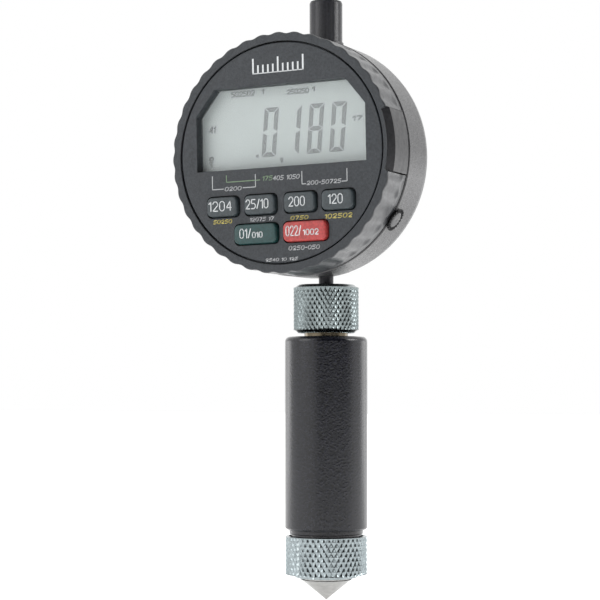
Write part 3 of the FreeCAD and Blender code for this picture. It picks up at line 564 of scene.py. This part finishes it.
BEZEL_R = 29.2
BEZEL_END = 10.5
BEZEL_STEPS = 18
BAND_R = 29.15
BAND_EDGE = 0.25
EDGE_ROUND = 0.32
FRONT_BORE_R = 27.0
LIP_R = 25.7
LIP_FRONT = 1.8
LIP_BACK = 6.5
REAR_BORE_R = 27.4
SCALLOPS = 40
SCALLOP_DEPTH = 0.4
SCALLOP_SHARPNESS = 1.3
SCALLOP_START = -0.30
SCALLOP_END = 8.4
SCALLOP_LEAD_IN = 0.45
SCALLOP_LEAD_OUT = 0.5
SCALLOPED_OVER_R = BEZEL_R - 0.5
SCALLOP_ROWS = 10
SCALLOP_FIRST_ROW = 0.8
SCALLOP_ROW_STEP = 0.76
SCALLOP_LAST_ROW = 0.2
PORT_FROM = -12.6
PORT_TO = 17.9
PORT_FLOOR_R = 27.9
FACING_FRONT = -0.9
# The front bore's edge: how far out from the bore, how deep.
FRONT_BORE_EDGE = [(0.0, 0.10), (0.03, 0.03), (0.10, 0.0), (0.16, 0.0)]
# Extra circles of points on the front, in from its flat part's edge, so that it shades flat.
FRONT_CIRCLES = (0.55, 0.08)


def bezel_place(turn, r, depth):
    """A point of the bezel: scalloped outside, and cut down where the port cover sits."""
    degrees = (math.degrees(turn) + 180) % 360 - 180
    if r > PORT_FLOOR_R and PORT_FROM < degrees < PORT_TO:
        r = PORT_FLOOR_R
    elif r > SCALLOPED_OVER_R and depth < SCALLOP_END:
        wave = (1 - math.cos(SCALLOPS * turn)) / 2
        lead_in = (depth - SCALLOP_START) / SCALLOP_LEAD_IN
        lead_out = (SCALLOP_END - depth) / SCALLOP_LEAD_OUT
        r -= SCALLOP_DEPTH * wave ** SCALLOP_SHARPNESS * min(1.0, lead_in, lead_out)
    return on_dial(r * math.cos(turn), depth, r * math.sin(turn))


def make_bezel():
    """The bezel: a lip carries the face plate, and the rear bore turns on the case."""
    flat_r = BEZEL_R - EDGE_ROUND
    section = [(FRONT_BORE_R, LIP_FRONT)]
    section += [(FRONT_BORE_R + outward, depth) for outward, depth in FRONT_BORE_EDGE]
    section += [(flat_r - inward, 0.0) for inward in FRONT_CIRCLES]
    section += arc(flat_r, EDGE_ROUND, EDGE_ROUND, start=-90, end=0, parts=5)
    section += [(BEZEL_R, SCALLOP_FIRST_ROW + SCALLOP_ROW_STEP * row) for row in range(SCALLOP_ROWS)]
    section += [(BEZEL_R, SCALLOP_END - SCALLOP_LAST_ROW), (BAND_R, SCALLOP_END)]
    section += [(BAND_R, BEZEL_END - BAND_EDGE), (BAND_R - BAND_EDGE, BEZEL_END)]
    section += [(REAR_BORE_R, BEZEL_END), (REAR_BORE_R, LIP_BACK), (LIP_R, LIP_BACK), (LIP_R, LIP_FRONT)]
    mesh = spun(section, SCALLOPS * BEZEL_STEPS, bezel_place)
    bezel = new_piece("bezel_scalloped", *mesh, BEZEL_BLACK, "display", crease=50)
    # Faces turned to the front take the darker, duller face material and the rest the bezel's own: painted
    # shade on the bezel's front.
    bezel.data.materials.append(FACE_BLACK)
    for face in bezel.data.polygons:
        face.material_index = 1 if face.normal.y < FACING_FRONT else 0
    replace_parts(bezel, "bezel_ring")


make_bezel()


# ---------------------------------------------------------------- keys

KEY_H = 4.9
KEY_W = 8.5
WIDE_KEY_W = 11.6
KEY_ROW_Z = -12.3
WIDE_ROW_Z = -19.3
KEY_CORNER = 1.45
KEY_PROUD = 0.9
KEY_ROLL = 0.5
KEY_ROLL_PARTS = 5
KEY_ROLL_LEAD = 0.05
KEY_DRAFT = 0.10
KEY_DRAFT_FROM = 0.4
KEY_FLANGE = 0.55
KEY_FLANGE_FRONT = 2.0
KEY_FLANGE_BACK = 2.7
KEY_DISH = 0.04
KEY_DISH_RINGS = 5
# A key's outline grows this much in height for each 1 in width.
KEY_GROW_HIGH = 0.85
# Each key's centre and width.
KEYS = {
    "key_hold": (-15.4, KEY_ROW_Z, KEY_W),
    "key_units": (-5.3, KEY_ROW_Z, KEY_W),
    "key_second": (5.3, KEY_ROW_Z, KEY_W),
    "key_limits": (15.2, KEY_ROW_Z, KEY_W),
    "key_on": (-6.55, WIDE_ROW_Z, WIDE_KEY_W),
    "key_off": (6.55, WIDE_ROW_Z, WIDE_KEY_W),
}
KEY_LOOKS = {"key_on": KEY_GREEN, "key_off": KEY_RED}


def rounded_outline(width, height, radius):
    """Points of a rounded rectangle about its centre."""
    half_w = width / 2 - radius
    half_h = height / 2 - radius
    corners = ((half_w, half_h, 0), (-half_w, half_h, 90), (-half_w, -half_h, 180), (half_w, -half_h, 270))
    outline = []
    for cx, cy, start in corners:
        outline += arc(cx, cy, radius, start, start + 90)
    return outline


def key_layers():
    """How far the key's outline stands out, and at what depth, from its flange to the rim of its top."""
    layers = [(KEY_FLANGE, KEY_FLANGE_BACK), (KEY_FLANGE, KEY_FLANGE_FRONT), (0.0, KEY_FLANGE_FRONT)]
    layers += [(0.0, KEY_DRAFT_FROM), (-KEY_DRAFT, -KEY_PROUD + KEY_ROLL + KEY_ROLL_LEAD)]
    for part in range(KEY_ROLL_PARTS + 1):
        turn = math.radians(90 * part / KEY_ROLL_PARTS)
        grow = -KEY_DRAFT - KEY_ROLL * (1 - math.cos(turn))
        layers.append((grow, -KEY_PROUD + KEY_ROLL * (1 - math.sin(turn))))
    return layers


def key_outlines(width):
    """A key's outlines with their depths, up its sides and inward over its dished top."""
    outlines = []
    for grow, depth in key_layers():
        height = KEY_H + 2 * grow * KEY_GROW_HIGH
        outlines.append((rounded_outline(width + 2 * grow, height, KEY_CORNER + grow), depth))
    rim = outlines[-1][0]
    for step in range(1, KEY_DISH_RINGS):
        share = 1 - step / KEY_DISH_RINGS
        dish = KEY_DISH * (1 - share ** 2)
        outlines.append(([(px * share, pz * share) for px, pz in rim], -KEY_PROUD + dish))
    return outlines


def make_key(name, x, z, width, look):
    """A key with drafted sides, rolled edges, a slightly dished top and its flange."""
    outlines = key_outlines(width)
    count = len(outlines[0][0])
    points = [on_dial(x + px, depth, z + pz) for outline, depth in outlines for px, pz in outline]
    points.append(on_dial(x, -KEY_PROUD + KEY_DISH, z))
    faces = []
    for row in range(len(outlines) - 1):
        for corner in range(count):
            nxt = (corner + 1) % count
            faces.append((row * count + corner, row * count + nxt,
                          (row + 1) * count + nxt, (row + 1) * count + corner))
    top = (len(outlines) - 1) * count
    faces += [(top + corner, top + (corner + 1) % count, len(points) - 1) for corner in range(count)]
    faces.append(tuple(reversed(range(count))))
    piece = new_piece(name + "_cap", points, faces, look, name, crease=40)
    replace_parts(piece, name)


for key, (key_x, key_z, key_w) in KEYS.items():
    make_key(key, key_x, key_z, key_w, KEY_LOOKS.get(key, KEY_SLATE))


# ---------------------------------------------------------------- flat shapes, lines and figures

# Each sign's width, where a 0 is 1 wide, and the points its pen goes through, with 1 as its full height.
GLYPHS = {
    "0": (1.0, [(0.3, 0), (0.7, 0), (1, 0.2), (1, 0.8), (0.7, 1), (0.3, 1), (0, 0.8), (0, 0.2), (0.3, 0)]),
    "1": (0.42, [(0, 0.78), (0.42, 1), (0.42, 0)]),
    "2": (1.0, [(0, 0.78), (0.28, 1), (0.72, 1), (1, 0.8), (1, 0.6), (0, 0), (1, 0)]),
    "4": (1.0, [(0.78, 0), (0.78, 1), (0, 0.3), (1, 0.3)]),
    "5": (1.0, [(0.95, 1), (0.05, 1), (0.05, 0.57), (0.7, 0.57), (1, 0.4), (1, 0.18), (0.7, 0), (0, 0)]),
    "7": (1.0, [(0, 1), (1, 1), (0.35, 0)]),
    "/": (0.6, [(0, 0), (0.6, 1)]),
    "-": (0.55, [(0, 0.5), (0.55, 0.5)]),
    " ": (0.5, []),
}
GLYPH_GAP = 0.42
STROKE_OVERLAP = 0.3
LINE = 0.20
PRINT_THICK = 0.02


def flat_piece(name, outlines, depth, thick, look, body):
    """Thin printed shapes, each outline a list of (x, z) points, standing forward from a depth."""
    points = []
    faces = []
    for outline in outlines:
        first = len(points)
        count = len(outline)
        points += [on_dial(px, depth - thick, pz) for px, pz in outline]
        points += [on_dial(px, depth, pz) for px, pz in outline]
        faces.append(tuple(range(first, first + count)))
        faces.append(tuple(reversed(range(first + count, first + 2 * count))))
        for corner in range(count):
            nxt = (corner + 1) % count
            faces.append((first + corner, first + count + corner, first + count + nxt, first + nxt))
    new_piece(name, points, faces, look, body, crease=20)


def stroke(x0, z0, x1, z1, width):
    """Outline of a straight line of the given width."""
    along = Vector((x1 - x0, z1 - z0)).normalized()
    side = Vector((-along.y, along.x)) * width / 2
    start = [(x0 + side.x, z0 + side.y), (x0 - side.x, z0 - side.y)]
    end = [(x1 - side.x, z1 - side.y), (x1 + side.x, z1 + side.y)]
    return start + end


def bracket(points):
    """Connected printed lines through the points."""
    return [stroke(*start, *end, LINE) for start, end in zip(points, points[1:])]


def written(text, x, z, width, height, weight, lean=0.0):
    """Outlines of thin condensed figures fitted to a width and height about a centre."""
    unit = width / (sum(GLYPHS[sign][0] for sign in text) + GLYPH_GAP * (len(text) - 1))
    at = x - width / 2
    outlines = []
    for sign in text:
        wide, points = GLYPHS[sign]
        spots = [(at + px * unit + lean * (pz - 0.5) * height, z + (pz - 0.5) * (height - weight))
                 for px, pz in points]
        for (x0, z0), (x1, z1) in zip(spots, spots[1:]):
            along = Vector((x1 - x0, z1 - z0)).normalized() * weight * STROKE_OVERLAP
            outlines.append(stroke(x0 - along.x, z0 - along.y, x1 + along.x, z1 + along.y, weight))
        at += (wide + GLYPH_GAP) * unit
    return outlines


# ---------------------------------------------------------------- the display's reading and its faint marks

LCD_LIFT = 0.01
LCD_DEPTH = LCD_FACE - LCD_LIFT
LCD_THICK = 0.03
LEAN = math.tan(math.radians(5.5))
DIGIT_W = 3.85
DIGIT_H = 12.0
DIGIT_BAR = 1.12
DIGIT_GAP = 0.16
DIGIT_LOW_Z = -0.42
DIGITS = [("0", -6.55), ("1", -0.42), ("8", 5.55), ("0", 11.50)]
POINT_X = -7.62
POINT_R = 0.42
SEGMENTS = {"0": "abcdef", "1": "bc", "8": "abcdefg"}
# Text, centre, width, height and weight.
LEANING_MARKS = [
    ("502502", -11.3, 15.55, 6.2, 1.5, 0.30), ("1", -5.9, 15.6, 0.5, 1.4, 0.42),
    ("250250", 3.6, 14.95, 5.6, 1.35, 0.30), ("1", 7.7, 15.1, 0.5, 1.3, 0.42),
    ("41", -19.8, 7.3, 1.5, 1.8, 0.42), ("0", -20.2, 0.1, 1.0, 1.1, 0.42), ("17", 19.0, 7.2, 2.3, 1.35, 0.42),
]
UPRIGHT_MARKS = [("-", -20.3, -0.7, 0.9, 0.6, 0.35), ("1", -20.3, -1.5, 0.25, 1.1, 0.30)]
POINTER_MARK = [(-1.55, -0.85), (-0.55, -0.85), (-0.75, -2.0), (-1.35, -2.0)]


def level_bars():
    """The top, bottom and middle bars of a seven-segment digit, from its low left corner."""
    half = DIGIT_H / 2
    left, right = DIGIT_GAP, DIGIT_W - DIGIT_GAP
    inner, outer = DIGIT_BAR, DIGIT_W - DIGIT_BAR
    low_mid, high_mid = half - DIGIT_BAR / 2, half + DIGIT_BAR / 2
    under_top = DIGIT_H - DIGIT_BAR
    return {
        "a": [(left, DIGIT_H), (right, DIGIT_H),
              (outer - DIGIT_GAP, under_top), (inner + DIGIT_GAP, under_top)],
        "d": [(left, 0), (inner + DIGIT_GAP, DIGIT_BAR), (outer - DIGIT_GAP, DIGIT_BAR), (right, 0)],
        "g": [(left, half), (inner, high_mid), (outer, high_mid),
              (right, half), (outer, low_mid), (inner, low_mid)],
    }


def side_bars():
    """The four upright bars of a seven-segment digit."""
    half = DIGIT_H / 2
    bars = {}
    for left, right, low, high, low_cut, high_cut in (
            ("f", "b", half + DIGIT_GAP, DIGIT_H - DIGIT_GAP, DIGIT_BAR / 2, DIGIT_BAR),
            ("e", "c", DIGIT_GAP, half - DIGIT_GAP, DIGIT_BAR, DIGIT_BAR / 2)):
        bars[left] = [(0, low), (0, high), (DIGIT_BAR, high - high_cut), (DIGIT_BAR, low + low_cut)]
        bars[right] = [(DIGIT_W - px, pz) for px, pz in bars[left]]
    return bars


def digit_outlines(digit, x):
    """Seven-segment shapes of one digit, its low left corner at x, leaning to the right."""
    bars = {**level_bars(), **side_bars()}
    return [[(x + px + LEAN * pz, DIGIT_LOW_Z + pz) for px, pz in bars[part]] for part in SEGMENTS[digit]]


def make_reading():
    reading = []
    for digit, digit_x in DIGITS:
        reading += digit_outlines(digit, digit_x)
    reading.append(arc(POINT_X, 0.0, POINT_R, start=0, end=315, parts=7))
    flat_piece("lcd_reading", reading, LCD_DEPTH, LCD_THICK, SEGMENT, "display")


def make_faint_marks():
    faint = []
    for mark in LEANING_MARKS:
        faint += written(*mark, LEAN)
    for mark in UPRIGHT_MARKS:
        faint += written(*mark)
    faint.append(POINTER_MARK)
    flat_piece("lcd_small_marks", faint, LCD_DEPTH, LCD_THICK, SEGMENT_FAINT, "display")


make_reading()
make_faint_marks()


# ---------------------------------------------------------------- print on the face plate and the keys

WHITE_BRACKETS = [
    [(-18.35, -4.6), (-18.35, -7.9), (-15.3, -7.9)],
    [(-10.1, -7.9), (-6.65, -7.9), (-6.65, -4.8)],
    [(5.75, -4.9), (5.75, -8.0), (6.8, -8.0)],
    [(16.1, -8.0), (17.5, -8.0), (17.5, -5.0)],
]
GREEN_BRACKET = [(-14.5, -4.6), (-14.5, -6.3), (-5.4, -6.3)]

RULE_X = -0.1
RULE_Z = 21.4
RULE_W = 13.6
RULE_H = 3.7
RULE_MARKS = 10
RULE_LONG_EVERY = 5
RULE_MARK_W = 0.42
RULE_INSET = 0.15
RULE_SHORT = 0.55

KEY_INK_THICK = 0.05
KEY_INK_DEPTH = -KEY_PROUD + KEY_INK_THICK
KEY_INK_WEIGHT = 0.23
KEY_INK_RAISE = 0.15
# Text, shift from the key's centre, width and height.
KEY_SIGNS = {
    "key_hold": [("1204", -0.45, 6.1, 2.5)],
    "key_units": [("25/10", -0.55, 5.9, 2.4)],
    "key_second": [("200", -0.60, 4.1, 2.4)],
    "key_limits": [("120", -0.40, 3.6, 2.4)],
    "key_on": [("01/", -2.60, 2.9, 2.4), ("010", 0.65, 2.6, 1.5)],
    "key_off": [("022/", -2.85, 3.9, 2.5), ("1002", 1.70, 3.9, 1.5)],
}

LABEL_WEIGHT = 0.19
LABEL_LEAN = 0.18
# Text, centre, width and height.
LABELS = {
    "printed_yellow": (INK_YELLOW, [
        ("50250", -15.7, -15.85, 4.9, 1.0), ("0750", 4.9, -16.0, 4.5, 1.0),
        ("102502", 15.1, -16.1, 7.0, 1.15)]),
    "printed_green": (INK_GREEN, [("175", -3.4, -6.0, 2.5, 1.15)]),
    "printed_white": (INK_GREY, [
        ("0200", -12.7, -7.95, 4.3, 1.05), ("405 1050", 1.6, -6.1, 6.9, 1.15),
        ("200-50725", 11.5, -7.85, 8.8, 1.05), ("12075 17", -5.1, -15.8, 6.3, 1.0),
        ("0250-050", 6.0, -23.2, 8.0, 1.05), ("2540 10 125", 0.0, -25.75, 8.4, 0.8)]),
}


def make_brackets():
    white_lines = []
    for points in WHITE_BRACKETS:
        white_lines += bracket(points)
    flat_piece("printed_white_lines", white_lines, PLATE_FACE, PRINT_THICK, INK_GREY, "display")
    flat_piece("printed_green_lines", bracket(GREEN_BRACKET), PLATE_FACE, PRINT_THICK, INK_GREEN, "display")


def make_graduation():
    """A plain graduated rule above the display."""
    left, right = RULE_X - RULE_W / 2, RULE_X + RULE_W / 2
    low = RULE_Z - RULE_H / 2
    rule = bracket([(left, low), (right, low)])
    for mark in range(RULE_MARKS + 1):
        mark_x = left + RULE_INSET + mark * (RULE_W - 2 * RULE_INSET) / RULE_MARKS
        mark_h = RULE_H if mark % RULE_LONG_EVERY == 0 else RULE_H * RULE_SHORT
        rule.append(stroke(mark_x, low, mark_x, low + mark_h, RULE_MARK_W))
    flat_piece("printed_graduation", rule, PLATE_FACE, PRINT_THICK, INK_WHITE, "display")


def make_legend(key, signs):
    """Figures on a key, all on the first sign's baseline."""
    key_x, key_z, _ = KEYS[key]
    first_h = signs[0][3]
    shapes = []
    for text, shift, text_w, text_h in signs:
        text_z = key_z + KEY_INK_RAISE + (text_h - first_h) / 2
        shapes += written(text, key_x + shift, text_z, text_w, text_h, KEY_INK_WEIGHT)
    flat_piece(key + "_legend", shapes, KEY_INK_DEPTH, KEY_INK_THICK, INK_WHITE, key)


def make_labels(name, look, labels):
    shapes = []
    for label in labels:
        shapes += written(*label, LABEL_WEIGHT, LABEL_LEAN)
    flat_piece(name, shapes, PLATE_FACE, PRINT_THICK, look, "display")


make_brackets()
make_graduation()
for key, signs in KEY_SIGNS.items():
    make_legend(key, signs)
for name, (look, labels) in LABELS.items():
    make_labels(name, look, labels)


# ---------------------------------------------------------------- bezel locking screw

LOCK_ANGLE = math.radians(-33.0)
LOCK_DEPTH = 12.3
LOCK_HEAD_R = 3.0
LOCK_SEAT_R = 29.6
LOCK_T = 0.6
LOCK_OUT = Vector((math.cos(LOCK_ANGLE), 0, math.sin(LOCK_ANGLE)))
LOCK_SIDE = Vector((-math.sin(LOCK_ANGLE), 0, math.cos(LOCK_ANGLE)))
RIM_HALF = 0.5
RIM_HALF_H = 0.32
RIM_MID_R = LOCK_HEAD_R - RIM_HALF
RIM_INNER_R = RIM_MID_R - RIM_HALF
RIM_PARTS = 10
RIM_EASE = 0.1
RIM_NOTCHES = 20
RIM_NOTCH = 0.16
RIM_STEPS = 8
DISC_GAP = 0.02
DISC_R = RIM_INNER_R - DISC_GAP
DISC_LOW = 0.05
DISC_AXIS_R = 0.02
DISC_STEPS = 72
# The disc's top from its edge to its dimpled middle.
DISC_TOP = [(DISC_R, 0.36), (RIM_INNER_R - 0.15, 0.42), (0.7, 0.46), (0.35, 0.42), (DISC_AXIS_R, 0.33)]


def lock_place(turn, r, height):
    """A point of the locking screw: turned about its own axis, height above its seat."""
    across = Vector((0, math.cos(turn), 0)) + LOCK_SIDE * math.sin(turn)
    return DIAL + Vector((0, LOCK_DEPTH, 0)) + LOCK_OUT * (LOCK_SEAT_R + height) + across * r


def notched(turn, r, height):
    """The screw's rim, with shallow notches for the fingers."""
    return lock_place(turn, r, height * (1 - RIM_NOTCH + RIM_NOTCH * math.cos(RIM_NOTCHES * turn)))


def make_lock_screw():
    rim = [(RIM_INNER_R, 0.0), (LOCK_HEAD_R - RIM_EASE, 0.0)]
    for part in range(RIM_PARTS + 1):
        turn = math.radians(180 * part / RIM_PARTS)
        rim.append((RIM_MID_R + RIM_HALF * math.cos(turn), LOCK_T - RIM_HALF_H + RIM_HALF_H * math.sin(turn)))
    rim_mesh = spun(rim, RIM_NOTCHES * RIM_STEPS, notched)
    rim_piece = new_piece("lock_screw_rim", *rim_mesh, BLACK_GLOSS, "bezel_lock", crease=30)
    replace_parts(rim_piece, "bezel_lock_screw")
    disc_mesh = spun([(DISC_AXIS_R, DISC_LOW), (DISC_R, DISC_LOW)] + DISC_TOP, DISC_STEPS, lock_place)
    disc_piece = new_piece("lock_screw_disc", *disc_mesh, SCREW_GREY, "bezel_lock", crease=40)
    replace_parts(disc_piece, "bezel_lock_screw")


make_lock_screw()


# ---------------------------------------------------------------- stage, lights and camera

STAGE_HALF = 2500.0
STAGE_CELLS = 10
STAGE_GLOW = 0.6

DIM_SIDE = (0.72, -0.69, 0.0)
DIM_HEIGHT = 0.45
DIM_FROM = 0.45
DIM_FULL = 0.80
BACK_LIGHT = 1.30
FRONT_LIGHT = 0.0

# Name, place, target, size and watts.
LIGHTS = [
    ("key_left", (-370, -420, 300), (0, 0, 80), (300, 400), 0.75),
    ("key_right", (560, 150, 330), (0, 0, 60), (300, 250), 1.4),
    ("edge_left", (-590, 130, 60), (0, 0, 40), (250, 140), 0.17),
    ("edge_right", (290, 540, 60), (0, 0, 30), (250, 140), 0.15),
]

CAMERA_FROM_DIAL = Vector((201.06, -417.21, -54.99))
CAMERA_AZIMUTH = math.radians(25.12)
CAMERA_PITCH = math.radians(2.41)
CAMERA_LENS = 116.2
CAMERA_CLIP = 0.01


def make_stage():
    """A wide pale floor under the tip."""
    across = STAGE_CELLS + 1
    step = 2 * STAGE_HALF / STAGE_CELLS
    points = [Vector((-STAGE_HALF + step * col, -STAGE_HALF + step * row, CONE_LOW.z)) * MM
              for row in range(across) for col in range(across)]
    faces = []
    for row in range(STAGE_CELLS):
        for col in range(STAGE_CELLS):
            corner = row * across + col
            faces.append((corner, corner + 1, corner + across + 1, corner + across))
    mesh = bpy.data.meshes.new("stage_floor")
    mesh.from_pydata(points, [], faces)
    look = Finish("stage_white", (0.90, 0.90, 0.90), roughness=0.8, specular=0.1)
    look.mottle(per_mm=0.01, amount=0.01)
    look.set("Emission Color", (1, 1, 1, 1))
    look.set("Emission Strength", STAGE_GLOW)
    mesh.materials.append(look.material)
    floor = bpy.data.objects.new("stage_floor", mesh)
    bpy.context.scene.collection.objects.link(floor)


def make_world():
    """White all round for the eye; as light, bright behind the object and dim on the camera's side."""
    world = bpy.data.worlds.new("soft_white")
    world.use_nodes = True
    nodes = world.node_tree.nodes
    link = world.node_tree.links.new
    seen = nodes["Background"]
    seen.inputs["Color"].default_value = (1, 1, 1, 1)
    seen.inputs["Strength"].default_value = 1.0
    lit = nodes.new("ShaderNodeBackground")
    lit.inputs["Color"].default_value = (1, 1, 1, 1)

    flatter = nodes.new("ShaderNodeVectorMath")
    flatter.operation = "MULTIPLY"
    flatter.inputs[1].default_value = (1, 1, DIM_HEIGHT)
    level = nodes.new("ShaderNodeVectorMath")
    level.operation = "NORMALIZE"
    facing = nodes.new("ShaderNodeVectorMath")
    facing.operation = "DOT_PRODUCT"
    facing.inputs[1].default_value = DIM_SIDE
    fade = nodes.new("ShaderNodeMapRange")
    fade.interpolation_type = "SMOOTHSTEP"
    fade.inputs["From Min"].default_value = DIM_FROM
    fade.inputs["From Max"].default_value = DIM_FULL
    fade.inputs["To Min"].default_value = BACK_LIGHT
    fade.inputs["To Max"].default_value = FRONT_LIGHT
    mix = nodes.new("ShaderNodeMixShader")

    link(nodes.new("ShaderNodeTexCoord").outputs["Generated"], flatter.inputs[0])
    link(flatter.outputs[0], level.inputs[0])
    link(level.outputs[0], facing.inputs[0])
    link(facing.outputs["Value"], fade.inputs["Value"])
    link(fade.outputs["Result"], lit.inputs["Strength"])
    link(nodes.new("ShaderNodeLightPath").outputs["Is Camera Ray"], mix.inputs["Fac"])
    link(lit.outputs[0], mix.inputs[1])
    link(seen.outputs[0], mix.inputs[2])
    link(mix.outputs[0], nodes["World Output"].inputs["Surface"])
    bpy.context.scene.world = world


def area_light(name, place, target, size, power):
    """A soft rectangular light, places in millimetres, power in watts."""
    light = bpy.data.lights.new(name, "AREA")
    light.shape = "RECTANGLE"
    light.size = size[0] * MM
    light.size_y = size[1] * MM
    light.energy = power
    holder = bpy.data.objects.new(name, light)
    holder.location = Vector(place) * MM
    aim = Vector(target) - Vector(place)
    holder.rotation_euler = aim.to_track_quat("-Z", "Y").to_euler()
    bpy.context.scene.collection.objects.link(holder)


def make_camera():
    camera = bpy.data.cameras.new("camera")
    camera.lens = CAMERA_LENS
    camera.clip_start = CAMERA_CLIP
    holder = bpy.data.objects.new("camera", camera)
    level = math.cos(CAMERA_PITCH)
    forward = Vector((-math.sin(CAMERA_AZIMUTH) * level, math.cos(CAMERA_AZIMUTH) * level,
                      math.sin(CAMERA_PITCH)))
    holder.location = (DIAL + CAMERA_FROM_DIAL) * MM
    holder.rotation_euler = forward.to_track_quat("-Z", "Y").to_euler()
    bpy.context.scene.collection.objects.link(holder)
    bpy.context.scene.camera = holder


make_stage()
make_world()
for light in LIGHTS:
    area_light(*light)
make_camera()
bpy.context.scene.view_settings.view_transform = "Standard"
